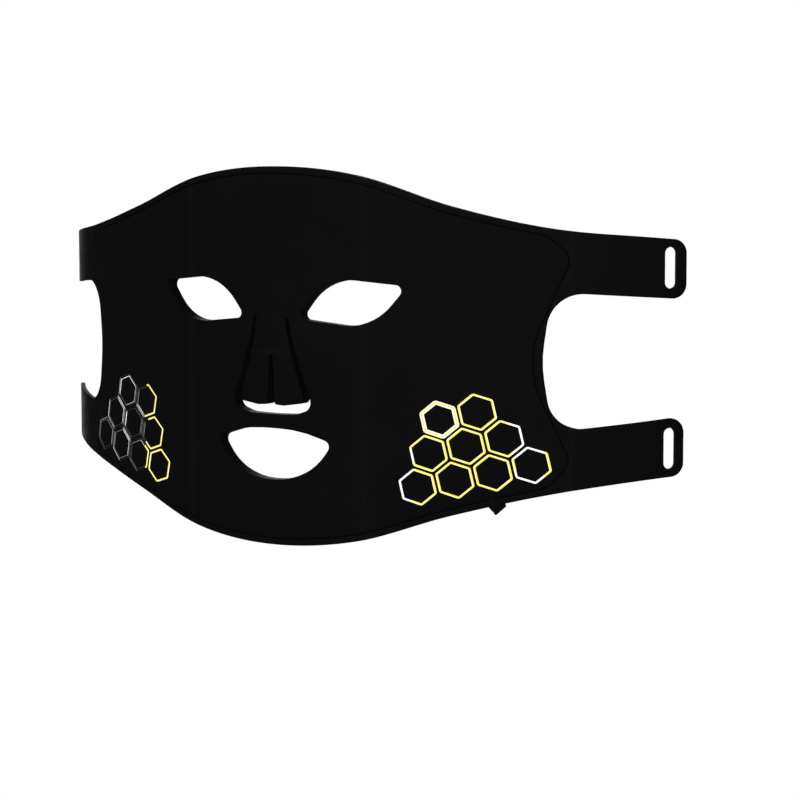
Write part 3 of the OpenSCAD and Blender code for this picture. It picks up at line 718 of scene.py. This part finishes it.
def nose_flap(side, tag):
    corners = np.vstack([FLAP_SLIT, FLAP_LOW[::-1][1:], TONGUE[3:1:-1],
                         [[nose_half_w, NOSE_CUT]]])
    outline = Outline([(cut_line([0, NOSE_CUT], FLAP_SLIT[0]), None),
                       (fine(corners, NOSE_STEP), OPEN_R),
                       (cut_line([nose_half_w, NOSE_CUT], [0, NOSE_CUT]), None)])
    return make_slab("nose_flap_skin_" + tag, [outline], THICK, 2, NOSE_GRID, mirror=side < 0)


# ---------------------------------------------------------------- honeycomb lines
PITCH, CELL_R = 17.9, 9.0
TURN = 13.4             # degrees, slope of the rows of cells
HEX_TURN = TURN - 1.2   # degrees, turn of each hexagon
STRETCH = 1.106         # along s
FIRST_CELL = (95.0, -28.6)
SOFT = 0.07             # part of an edge taken up by a softened corner
LINE_ROOT = 0.14        # how far a line reaches into the sheet
# Section of a line: across in widths, height in line heights; its two feet are added to it
LINE_SECTION = [(-0.5, 0.55), (-0.36, 0.93), (0, 1), (0.36, 0.93), (0.5, 0.55)]
STATION_OFFSETS = (-0.07, -0.035, 0.0, 0.035, 0.07, 0.15, 0.25, 0.5, 0.75, 0.85)


def cell_at(column, row):
    across, down = math.radians(TURN), math.radians(TURN - 120)
    return np.array([
        FIRST_CELL[0] + STRETCH * PITCH * (column * math.cos(across) + row * math.cos(down)),
        FIRST_CELL[1] + PITCH * (column * math.sin(across) + row * math.sin(down))])


def hex_stations(start, end):
    """Stations along a hexagon, close together at its corners."""
    return sorted(set([start, end] + [k + d for k in range(-1, 14) for d in STATION_OFFSETS
                                      if start < k + d < end]))


def hex_path(radius, stations):
    """Points of a hexagon with softened corners; stations count edges anticlockwise from
    its top corner."""
    def corner(i):
        angle = math.radians(90 + HEX_TURN + 60 * i)
        return radius * np.array([math.cos(angle), math.sin(angle)])

    points = []
    for station in stations:
        k = math.floor(station + 0.5)
        past = station - k
        if abs(past) < SOFT + 0.0001:
            middle = corner(k)
            first = middle + (corner(k - 1) - middle) * SOFT
            last = middle + (corner(k + 1) - middle) * SOFT
            t = (past + SOFT) / (2 * SOFT)
            points.append(first * (1 - t) ** 2 + middle * 2 * t * (1 - t) + last * t * t)
        else:
            i = math.floor(station)
            points.append(corner(i) + (corner(i + 1) - corner(i)) * (station - i))
    return np.array(points)


def add_line(build, cell, width, height, start=0, end=6, shift=(0.0, 0.0), radius=CELL_R,
             shade=None):
    """A raised line along part of a hexagon. Gives the shade of each vertex, 1 for the full painted highlight of a
    pale edge line, from the shades of the six edges."""
    stations = hex_stations(start, end)
    path = hex_path(radius, stations)
    full = end - start >= 6
    if full:
        path = path[:-1]
        forward = np.roll(path, -1, 0) - np.roll(path, 1, 0)
    else:
        forward = np.vstack([path[1] - path[0], path[2:] - path[:-2], path[-1] - path[-2]])
    count = len(path)
    forward = forward / np.linalg.norm(forward, axis=1)[:, None]
    normal = np.stack([forward[:, 1], -forward[:, 0]], 1)
    section = [(-0.5, -LINE_ROOT)] + [(x, height * z) for x, z in LINE_SECTION]
    section.append((0.5, -LINE_ROOT))
    rows = []
    for x, rise in section:
        line = path + normal * (x * width)
        rows.append(sheet(cell[0] + shift[0] + STRETCH * line[:, 0],
                          cell[1] + shift[1] + line[:, 1], -rise))
    size = len(section)
    faces = []
    for k in range(size):
        row, after = k * count, (k + 1) % size * count
        for i in range(count if full else count - 1):
            j = (i + 1) % count
            faces.append((row + i, row + j, after + j, after + i))
    if not full:
        faces.append(tuple(k * count for k in range(size)))
        faces.append(tuple(k * count + count - 1 for k in range(size))[::-1])
    build.add(np.vstack(rows), faces)
    if shade is None:
        return [1.0] * (count * size)
    ring = []
    for station in stations[:count]:
        k = math.floor(station + 0.5)
        before, after = shade[(k - 1) % 6], shade[k % 6]
        ring.append(before + (after - before) * smooth((station - k) / 0.3 + 0.5))
    return ring * size


def make_lines(name, items, mirror):
    build, shades = Builder(), []
    for item in items:
        shades += add_line(build, **item)
    obj = build.make(name, sharp=60, mirror=mirror, join=False)
    attribute = obj.data.attributes.new("shade", "FLOAT", "POINT")
    attribute.data.foreach_set("value", [float(x) for x in shades])
    return obj


# Column and row of each cell
CELLS = [cell_at(*c) for c in (
    (0, 0), (1, 0), (0, 1), (1, 1), (2, 1), (0, 2), (1, 2), (2, 2), (3, 2))]

# +X cheek: a white line with a yellow line laid a little off it, so that either shows at its edge
# cell: shift of the yellow line, (start, end) of its stretches
YELLOW_LEFT = {
    1: ((-0.22, 0.1), [(0, 6)]), 2: ((0.2, 0.14), [(1.85, 7.1)]),
    3: ((0.2, -0.08), [(0, 6)]), 4: ((-0.22, 0.04), [(-0.4, 3.35)]),
    5: ((0.2, 0.14), [(2.45, 6.1)]), 6: ((0.18, 0.1), [(0, 6)]),
    7: ((0.2, -0.1), [(0, 6)]), 8: ((0.22, 0.08), [(0.9, 1.6), (3.55, 5.15)])}
white_left = [dict(cell=CELLS[0], width=1.9, height=0.24, radius=CELL_R - 0.25)]
white_left += [dict(cell=cell, width=0.93, height=0.24) for cell in CELLS[1:]]
yellow_left = [dict(cell=CELLS[0], width=0.9, height=0.34, shift=(0.0, 0.06),
                    radius=CELL_R - 0.2)]
yellow_left += [dict(cell=CELLS[k], width=0.76, height=0.33, start=start, end=end, shift=shift)
                for k, (shift, spans) in YELLOW_LEFT.items() for start, end in spans]

# -X cheek: raised rings in a black darker than the silicone, a painted shadow, with two thin pale lines along
# their edges that are painted highlights, strong on some sides and faded to nothing on others, and yellow print
# over white on some of the cells
# cell: strength of the painted highlight on the upper nose side, nose side, lower nose side, lower outer, outer,
# upper outer
INNER_HIGHLIGHT = {
    0: (0, 0, 0, 0.8, 0.45, 0.25), 1: (0.9, 0.75, 0.75, 0.3, 0.9, 0.95),
    2: (0, 0, 0, 0.25, 0.5, 0), 3: (0.35, 0.5, 0.25, 0.3, 0.95, 0.2),
    4: (0.9, 0.8, 0.25, 0.3, 0.3, 0.25), 6: (0.75, 0, 0.25, 0.25, 0.3, 0.5),
    7: (0.95, 0.8, 0.5, 0.3, 0.55, 0.4), 8: (0.5, 0.65, 0.2, 0.2, 0.3, 0.35)}
OUTER_HIGHLIGHT = {
    0: (0, 0, 0, 0.85, 0.3, 0.1), 1: (0.25, 0.35, 0.15, 0.1, 0.75, 0.15),
    2: (0, 0, 0, 0.3, 0.35, 0), 3: (0.15, 0.4, 0.1, 0.35, 0.45, 0.1),
    4: (0.85, 0.6, 0.1, 0.75, 0.9, 0.15), 6: (0.2, 0, 0.1, 0.5, 0.25, 0.15),
    7: (0.85, 0.4, 0.15, 0.8, 0.5, 0.1), 8: (0.3, 0.3, 0.1, 0.35, 0.55, 0.6)}
# cell, start, end
YELLOW_RIGHT = [(0, -0.12, 2.95), (2, -0.6, 3.55), (5, 0, 6), (6, 0.55, 2.1)]
# the raised rings take a black darker than the silicone, a painted shadow
black_right = [dict(cell=cell, width=1.5, height=0.28) for cell in CELLS]
highlight_right = [dict(cell=CELLS[k], width=0.27, height=0.35, radius=CELL_R + out, shade=shade)
              for table, out in ((INNER_HIGHLIGHT, -0.6), (OUTER_HIGHLIGHT, 0.6))
              for k, shade in table.items()]
white_right = [dict(cell=CELLS[k], width=0.95, height=0.38, start=start, end=end,
                    shift=(-0.05, 0.0)) for k, start, end in YELLOW_RIGHT]
yellow_right = [dict(cell=CELLS[k], width=0.78, height=0.46, start=start, end=end,
                     shift=(0.12, 0.06)) for k, start, end in YELLOW_RIGHT]

# ---------------------------------------------------------------- power socket boot
# Section of the boot in mm: radius, distance out from the mouth of the socket
BOOT_SECTION = [
    (1.78, -0.1), (1.9, 0.0), (3.1, 0.0), (3.4, -0.08), (3.62, -0.28), (3.7, -0.55),
    (3.7, -1.7), (3.64, -1.82), (3.42, -1.92), (3.42, -2.3), (3.64, -2.4), (3.7, -2.52),
    (3.7, -5.2), (3.7, -7.6), (1.78, -7.6)]


def boot():
    mount = MOUNTS["power_socket"]
    axis = Vector(mount["axis"]).normalized()
    mouth = Vector(mount["pos_m"]) + axis * mount["dims"]["length_mm"] / 2000
    side = axis.orthogonal().normalized()
    other = axis.cross(side)
    turns, size = 48, len(BOOT_SECTION)
    verts, faces = [], []
    for i in range(turns):
        angle = 2 * math.pi * i / turns
        out = side * math.cos(angle) + other * math.sin(angle)
        verts += [tuple(mouth + out * radius * MM + axis * z * MM) for radius, z in BOOT_SECTION]
        row, after = i * size, (i + 1) % turns * size
        for k in range(size):
            j = (k + 1) % size
            faces.append((row + k, after + k, after + j, row + j))
    return make_object("jack_boot_skin", np.array(verts), faces, sharp=40)


# ---------------------------------------------------------------- materials
def rgba(colour):
    """A number stands for a grey."""
    return (*colour, 1) if isinstance(colour, tuple) else (colour, colour, colour, 1)


class Shader:
    """A material with a Principled shader, and short ways to add nodes to it."""

    def __init__(self, name):
        self.material = bpy.data.materials.new(name)
        self.material.use_nodes = True
        self.tree = self.material.node_tree
        self.tree.nodes.clear()
        self.output = self.node("OutputMaterial")
        self.principled = self.node("BsdfPrincipled")
        self.feed(self.output.inputs[0], self.principled.outputs[0])

    def node(self, kind):
        return self.tree.nodes.new("ShaderNode" + kind)

    def feed(self, socket, value):
        if hasattr(value, "links"):
            self.tree.links.new(value, socket)
        else:
            socket.default_value = rgba(value) if isinstance(value, tuple) else value

    def set(self, inputs):
        for name, value in inputs.items():
            self.feed(self.principled.inputs[name], value)

    def noise(self, scale, detail=4.0, rough=0.55, stretch=None):
        source = self.node("TexCoord").outputs["Object"]
        if stretch:
            mapping = self.node("Mapping")
            mapping.inputs["Scale"].default_value = stretch
            self.feed(mapping.inputs[0], source)
            source = mapping.outputs[0]
        texture = self.node("TexNoise")
        for name, value in (("Scale", scale), ("Detail", detail), ("Roughness", rough),
                            ("Vector", source)):
            self.feed(texture.inputs[name], value)
        return texture.outputs["Fac"]

    def ramp(self, factor, span, colours):
        """From the first colour to the second over a span of the factor."""
        ramp = self.node("ValToRGB")
        for element, position, colour in zip(ramp.color_ramp.elements, span, colours):
            element.position = position
            element.color = rgba(colour)
        self.feed(ramp.inputs[0], factor)
        return ramp.outputs[0]

    def mix(self, factor, first, second):
        mix = self.node("Mix")
        mix.data_type = "RGBA"
        for i, value in ((0, factor), (6, first), (7, second)):
            self.feed(mix.inputs[i], value)
        return mix.outputs[2]

    def math(self, operation, first, second):
        node = self.node("Math")
        node.operation = operation
        self.feed(node.inputs[0], first)
        self.feed(node.inputs[1], second)
        return node.outputs[0]

    def times(self, first, second):
        return self.math("MULTIPLY", first, second)

    def bump(self, height, strength, distance):
        """Distance in metres."""
        bump = self.node("Bump")
        bump.inputs["Strength"].default_value = strength
        bump.inputs["Distance"].default_value = distance
        self.feed(bump.inputs["Height"], height)
        self.set({"Normal": bump.outputs[0]})


def silicone(name, base, rough, specular=0.04):
    """Matt black silicone: fine moulded grain, slow variation in sheen, a little dust and
    rubbed edges."""
    mat = Shader(name)
    slow = mat.noise(scale=22.0, detail=3.0)
    middle = mat.noise(scale=160.0, detail=5.0)
    dust = mat.noise(scale=1900.0, detail=2.0, rough=0.7)
    colour = mat.ramp(slow, span=(0.3, 0.7),
                      colours=(base * 0.86, (base * 1.16, base * 1.16, base * 1.22)))
    specks = mat.ramp(dust, span=(0.70, 0.79), colours=(0, 1))
    patches = mat.ramp(middle, span=(0.45, 0.75), colours=(0, 1))
    dusty = mat.times(mat.times(specks, patches), 0.04)
    pointiness = mat.node("NewGeometry").outputs["Pointiness"]
    rubbed = mat.ramp(pointiness, span=(0.52, 0.62), colours=(0, 1))
    colour = mat.mix(dusty, colour, (0.09, 0.09, 0.088))
    colour = mat.mix(mat.times(rubbed, 0.35), colour, (base * 3.0, base * 3.0, base * 3.1))
    sheen = mat.math("ADD", mat.times(slow, 0.6), mat.times(middle, 0.4))
    mat.set({"Base Color": colour,
             "Roughness": mat.ramp(sheen, span=(0.35, 0.65), colours=rough),
             "Specular IOR Level": specular,
             "Sheen Weight": 0.002,
             "Sheen Roughness": 0.55})
    grain = mat.noise(scale=5200.0, detail=2.0, rough=0.6)
    waves = mat.noise(scale=420.0, detail=3.0)
    height = mat.math("ADD", mat.times(grain, 0.75), mat.times(waves, 0.5))
    mat.bump(height, strength=0.32, distance=0.00006)
    return mat.material


def paint(name, dark, light, glow, painted_highlight=False):
    """Screen-printed ink: slightly uneven cover, fine edge break-up, satin, and an emission that is painted light,
    so that the ink glows as if brightly lit though it is no lamp. On the pale edge lines the colour is a painted
    highlight along the edges of raised rings, and the shade attribute takes it back to bare black where the
    highlight fades."""
    mat = Shader(name)
    cover = mat.noise(scale=900.0)
    grain = mat.noise(scale=4200.0, detail=2.0)
    colour = mat.ramp(cover, span=(0.35, 0.7), colours=(dark, light))
    thin = mat.ramp(grain, span=(0.24, 0.33), colours=(1, 0))
    colour = mat.mix(mat.times(thin, 0.25), colour, tuple(x * 0.35 for x in dark))
    # painted highlight: bright on the sides of a ring that catch the light, faded to bare black on the others
    if painted_highlight:
        shade = mat.node("Attribute")
        shade.attribute_name = "shade"
        patches = mat.ramp(mat.noise(scale=700.0, detail=3.0), span=(0.35, 0.6),
                           colours=(0.6, 1))
        ink_and_painted_light = mat.times(mat.math("POWER", shade.outputs["Fac"], 2.5), patches)
        colour = mat.mix(ink_and_painted_light, (0.004, 0.004, 0.004), colour)
    # the emission is painted light: the ink glows as if brightly lit
    mat.set({"Base Color": colour,
             "Roughness": mat.ramp(cover, span=(0.3, 0.7), colours=(0.34, 0.48)),
             "Emission Color": colour,
             "Emission Strength": glow})
    mat.bump(mat.times(grain, 1.0), strength=0.35, distance=0.00004)
    return mat.material


def plastic(name, dark, light, rough, scale=600.0, metallic=0.0, bump=0.00003, stretch=None,
            transmission=0.0):
    """Any plain part: two close tones, uneven gloss and a fine bump, in metres."""
    mat = Shader(name)
    coarse = mat.noise(scale=scale, stretch=stretch)
    grain = mat.noise(scale=scale * 6, detail=2.0, stretch=stretch)
    mat.set({"Base Color": mat.ramp(coarse, span=(0.3, 0.7), colours=(dark, light)),
             "Roughness": mat.ramp(grain, span=(0.3, 0.7), colours=rough),
             "Metallic": metallic,
             "Transmission Weight": transmission})
    mat.bump(mat.times(grain, 1.0), strength=0.3, distance=bump)
    return mat.material


def circuit():
    """Amber film with copper tracks."""
    mat = Shader("flex_circuit")
    coords = mat.node("TexCoord")
    wave = mat.node("TexWave")
    wave.bands_direction = "Z"
    wave.inputs["Scale"].default_value = 260.0
    wave.inputs["Distortion"].default_value = 1.5
    mat.feed(wave.inputs["Vector"], coords.outputs["Object"])
    track = mat.ramp(wave.outputs["Fac"], span=(0.46, 0.52), colours=(0, 1))
    cloud = mat.noise(scale=90.0)
    film = mat.ramp(cloud, span=(0.3, 0.7), colours=((0.42, 0.17, 0.02), (0.52, 0.23, 0.03)))
    mat.set({"Base Color": mat.mix(track, film, (0.62, 0.36, 0.14)),
             "Metallic": mat.times(track, 0.6),
             "Roughness": mat.ramp(cloud, span=(0.3, 0.7), colours=(0.28, 0.42))})
    mat.bump(track, strength=0.4, distance=0.00003)
    return mat.material


def lamp_phosphor():
    """Slightly translucent yellow."""
    mat = Shader("led_phosphor")
    grain = mat.noise(scale=1500.0)
    mat.set({"Base Color": mat.ramp(grain, span=(0.3, 0.7),
                                    colours=((0.86, 0.66, 0.16), (0.93, 0.8, 0.34))),
             "Roughness": mat.ramp(grain, span=(0.3, 0.7), colours=(0.2, 0.35)),
             "Subsurface Weight": 0.15,
             "Subsurface Scale": 0.0006})
    mat.bump(grain, strength=0.25, distance=0.00004)
    return mat.material


BLACK = silicone("silicone_shell", base=0.0062, rough=(0.5, 0.64))
PANEL = silicone("silicone_panel", base=0.0064, rough=(0.52, 0.68))
# the glow of these print materials is painted light, not a lamp
WHITE = paint("print_white", dark=(0.93, 0.93, 0.92), light=(0.98, 0.98, 0.97), glow=0.8)
# painted highlights along the edges of the raised rings on the -X cheek, with a stronger painted glow
EDGE_HIGHLIGHT = paint("painted_edge_highlight", dark=(0.88, 0.87, 0.86), light=(0.96, 0.96, 0.95), glow=1.75,
             painted_highlight=True)
# darker than the silicone: painted shadow for the shade beside each raised ring on the -X cheek
RELIEF_SHADOW = silicone("relief_painted_shadow", base=0.001, rough=(0.6, 0.7), specular=0.02)
YELLOW = paint("print_yellow", dark=(0.95, 0.82, 0.014), light=(0.98, 0.88, 0.03), glow=0.8)
FOAM = plastic("foam_grey", dark=(0.03, 0.03, 0.032), light=(0.07, 0.07, 0.075),
               rough=(0.85, 0.98), scale=2400.0, bump=0.0002)
CIRCUIT = circuit()
FILM = plastic("reflector_white", dark=(0.86, 0.86, 0.84), light=(0.94, 0.94, 0.93),
               rough=(0.3, 0.45), scale=300.0)
LENS = plastic("lens_clear", dark=(0.86, 0.9, 0.92), light=(0.95, 0.97, 0.98),
               rough=(0.04, 0.12), scale=500.0, transmission=0.92)
METAL = plastic("jack_nickel", dark=(0.55, 0.55, 0.56), light=(0.7, 0.7, 0.7),
                rough=(0.22, 0.4), scale=700.0, metallic=1.0, stretch=(1, 1, 9))
GOLD = plastic("contact_gold", dark=(0.72, 0.5, 0.2), light=(0.85, 0.62, 0.28),
               rough=(0.2, 0.34), scale=700.0, metallic=1.0)
CHIP = plastic("sensor_black", dark=(0.008, 0.008, 0.008), light=(0.02, 0.02, 0.02),
               rough=(0.4, 0.55), scale=900.0)
WIRE = plastic("wire_red", dark=(0.4, 0.02, 0.015), light=(0.55, 0.03, 0.02),
               rough=(0.3, 0.45), scale=900.0)
LED = lamp_phosphor()


def give(obj, material):
    if obj.type == "MESH":
        obj.data.materials.clear()
        obj.data.materials.append(material)
    return obj


def node_material(name):
    """Material of a CAD piece, from its name."""
    if name.startswith("foam"):
        return FOAM
    if name.startswith(("flex_circuit", "nose_flex")):
        return CIRCUIT
    if name.startswith("reflector"):
        return FILM
    if "lens" in name:
        return LENS
    if "leds" in name:
        return LED
    return {"jack_barrel": METAL, "jack_contact": GOLD, "jack_wires": WIRE,
            "temperature_sensor": CHIP}.get(name, BLACK)


for node_name, node in frame["nodes"].items():
    give(node, node_material(node_name))


# ---------------------------------------------------------------- pieces in place; the centre pieces and the jack boot on their bodies
def sheet_point(along, z, depth=0.0):
    return Vector(sheet(along, z, depth).tolist())


def blend_between(obj, side, start, end):
    """Bakes the transform of obj and does not bend it; the two points given for the +X side are not used."""
    start, end = (Vector((side * p.x, p.y, p.z)) for p in (start, end))
    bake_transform(obj)


def wing_blend(obj, side):
    """Works out two points across the leaning cheek line and hands them to blend_between, which only bakes the
    transform.
    """
    cheek_s, lean, reach = 75.6, math.atan(0.078), 0.0185
    centre, turn = sheet_point(cheek_s, 0.0), float(bend_angle(cheek_s))
    across = Vector((math.cos(turn) * math.cos(lean), math.sin(turn) * math.cos(lean),
                     -math.sin(lean)))
    blend_between(obj, side,
                  centre - across * reach, centre + across * reach)


def tab_blend(obj, side, level):
    z, middle = TAB_Z[level], TAB_THICK / 2
    blend_between(obj, side,
                  sheet_point(161.6, z, middle), sheet_point(170.4, z, middle))


def fit(obj, slot, *replaced):
    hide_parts(*replaced)


piece = give(shell_centre(), BLACK)
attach(piece, "face_panel")
fit(piece, "silicone", "rear_shell_centre")
piece = give(cover_centre(), PANEL)
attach(piece, "face_panel")
fit(piece, "silicone_panel", "front_cover_centre")
for side, tag in ((1, "left"), (-1, "right")):
    piece = give(shell_side(side, tag), BLACK)
    wing_blend(piece, side)
    fit(piece, "silicone", "rear_shell_" + tag, "rear_shell_centre")
    piece = give(cover_side(side, tag), PANEL)
    wing_blend(piece, side)
    fit(piece, "silicone_panel", "front_cover_" + tag, "front_cover_centre")
    for level in ("upper", "lower"):
        piece = give(strap_tab(side, tag, level), BLACK)
        tab_blend(piece, side, level)
        fit(piece, "silicone", f"strap_tab_{tag}_{level}")
    piece = give(nose_flap(side, tag), PANEL)
    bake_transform(piece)
    fit(piece, "silicone", f"nose_flap_{tag}_cover", f"nose_flap_{tag}_pad")
piece = give(nose_bridge(), PANEL)
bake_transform(piece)
fit(piece, "silicone", "nose_bridge_cover", "nose_bridge_pad")

# name, lines, side, material, kind of CAD piece replaced, slot
for name, items, tag, ink_and_painted_light, replaced, slot in (
        ("white", white_left, "left", WHITE, "rings", "print_white"),
        ("yellow", yellow_left, "left", YELLOW, "print", "print_yellow"),
        ("relief", black_right, "right", RELIEF_SHADOW, "rings", "silicone"),
        ("lines", highlight_right, "right", EDGE_HIGHLIGHT, "rings", "print_white"),
        ("white", white_right, "right", WHITE, "rings", "print_white"),
        ("yellow", yellow_right, "right", YELLOW, "print", "print_yellow")):
    side = 1 if tag == "left" else -1
    piece = give(make_lines(f"honeycomb_{name}_{tag}", items, side < 0), ink_and_painted_light)
    wing_blend(piece, side)
    fit(piece, slot, f"honeycomb_{replaced}_{tag}")

piece = give(boot(), BLACK)
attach(piece, "left_wing")
fit(piece, "silicone", "jack_boot")

# ---------------------------------------------------------------- stage, light, camera
CAM_AZIMUTH, CAM_HEIGHT, CAM_ROLL = (math.radians(a) for a in (33.0, 5.16, -0.11))
CAM_DISTANCE, CAM_RIGHT, CAM_Z = 1169.7, 65.8, -15.3    # mm, from the middle of the outer face
FLOOR_Z, FLOOR_HALF_W = -0.42, 6.0                      # m
CURVE_START, CURVE_R = 1.5, 1.5                         # m, where the floor turns up


def studio_white():
    """Matt grey to the lights, pure white to the camera."""
    mat = Shader("studio_white")
    mat.set({"Base Color": mat.ramp(mat.noise(scale=3.0), span=(0.3, 0.7), colours=(0.4, 0.44)),
             "Roughness": 0.9,
             "Specular IOR Level": 0.1})
    glow = mat.node("Emission")
    glow.inputs[1].default_value = 1.0
    ray, mix = mat.node("LightPath"), mat.node("MixShader")
    mat.feed(mix.inputs[0], ray.outputs["Is Camera Ray"])
    mat.feed(mix.inputs[1], mat.principled.outputs[0])
    mat.feed(mix.inputs[2], glow.outputs[0])
    mat.feed(mat.output.inputs[0], mix.outputs[0])
    return mat.material


def backdrop():
    """A pale floor that curves up into a wall, well below and behind the object."""
    profile = [(-6.0, 0.0), (CURVE_START, 0.0)]
    profile += [(CURVE_START + CURVE_R * math.sin(a), CURVE_R - CURVE_R * math.cos(a))
                for a in np.linspace(0.1, math.pi / 2, 14)]
    profile.append((CURVE_START + CURVE_R, 6.0))
    away = Vector((-math.sin(CAM_AZIMUTH), math.cos(CAM_AZIMUTH), 0))
    across = Vector((away.y, -away.x, 0))
    verts = [tuple(away * y + across * x + Vector((0, 0, z + FLOOR_Z)))
             for x in (-FLOOR_HALF_W, FLOOR_HALF_W) for y, z in profile]
    size = len(profile)
    faces = [(k, k + 1, size + k + 1, size + k) for k in range(size - 1)]
    mesh = bpy.data.meshes.new("studio_floor")
    mesh.from_pydata(verts, [], faces)
    for polygon in mesh.polygons:
        polygon.use_smooth = True
    give(link_object("studio_floor", mesh), studio_white())


def set_world(lighting, seen):
    """White surroundings: strength as light, and strength as the camera sees them."""
    world = bpy.data.worlds.new("studio")
    bpy.context.scene.world = world
    world.use_nodes = True
    nodes, links = world.node_tree.nodes, world.node_tree.links
    nodes.clear()
    output = nodes.new("ShaderNodeOutputWorld")
    background = nodes.new("ShaderNodeBackground")
    background.inputs[0].default_value = (1, 1, 1, 1)
    ray = nodes.new("ShaderNodeLightPath")
    level = nodes.new("ShaderNodeMix")
    level.inputs[2].default_value = lighting
    level.inputs[3].default_value = seen
    links.new(ray.outputs["Is Camera Ray"], level.inputs[0])
    links.new(level.outputs[0], background.inputs[1])
    links.new(background.outputs[0], output.inputs[0])


def area_light(name, place, watts):
    """A square lamp aimed at the origin."""
    light = bpy.data.lights.new(name, "AREA")
    light.energy = watts
    light.size = 1.2
    obj = link_object(name, light)
    obj.location = place
    obj.rotation_euler = (-Vector(place)).to_track_quat("-Z", "Y").to_euler()


def set_camera():
    back = Vector((math.sin(CAM_AZIMUTH) * math.cos(CAM_HEIGHT),
                   -math.cos(CAM_AZIMUTH) * math.cos(CAM_HEIGHT), math.sin(CAM_HEIGHT)))
    right = (-back).cross(Vector((0, 0, 1))).normalized()
    above = right.cross(-back)
    place = (Vector((0, FACE_Y, 0)) + back * CAM_DISTANCE + right * CAM_RIGHT
             + Vector((0, 0, CAM_Z)))
    right, above = (right * math.cos(CAM_ROLL) + above * math.sin(CAM_ROLL),
                    above * math.cos(CAM_ROLL) - right * math.sin(CAM_ROLL))
    camera = bpy.data.cameras.new("camera")
    camera.lens = 102.267
    camera.sensor_width = 36
    camera.shift_x, camera.shift_y = 0.00225, -0.0174
    camera.clip_start, camera.clip_end = 0.05, 50
    rows = [(right[i], above[i], back[i], place[i] * MM) for i in range(3)]
    obj = bpy.data.objects.new("camera", camera)
    obj.matrix_world = Matrix((*rows, (0, 0, 0, 1)))
    bpy.context.scene.collection.objects.link(obj)
    bpy.context.scene.camera = obj


backdrop()
set_world(lighting=0.16, seen=1.0)
area_light("key", place=(-0.3, -2.0, 0.8), watts=10.6)
area_light("fill", place=(1.35, -1.75, 0.6), watts=11.5)
area_light("back", place=(-1.3, 1.5, 0.1), watts=16)
set_camera()
bpy.context.scene.view_settings.view_transform = "Standard"
bpy.context.scene.view_settings.look = "None"
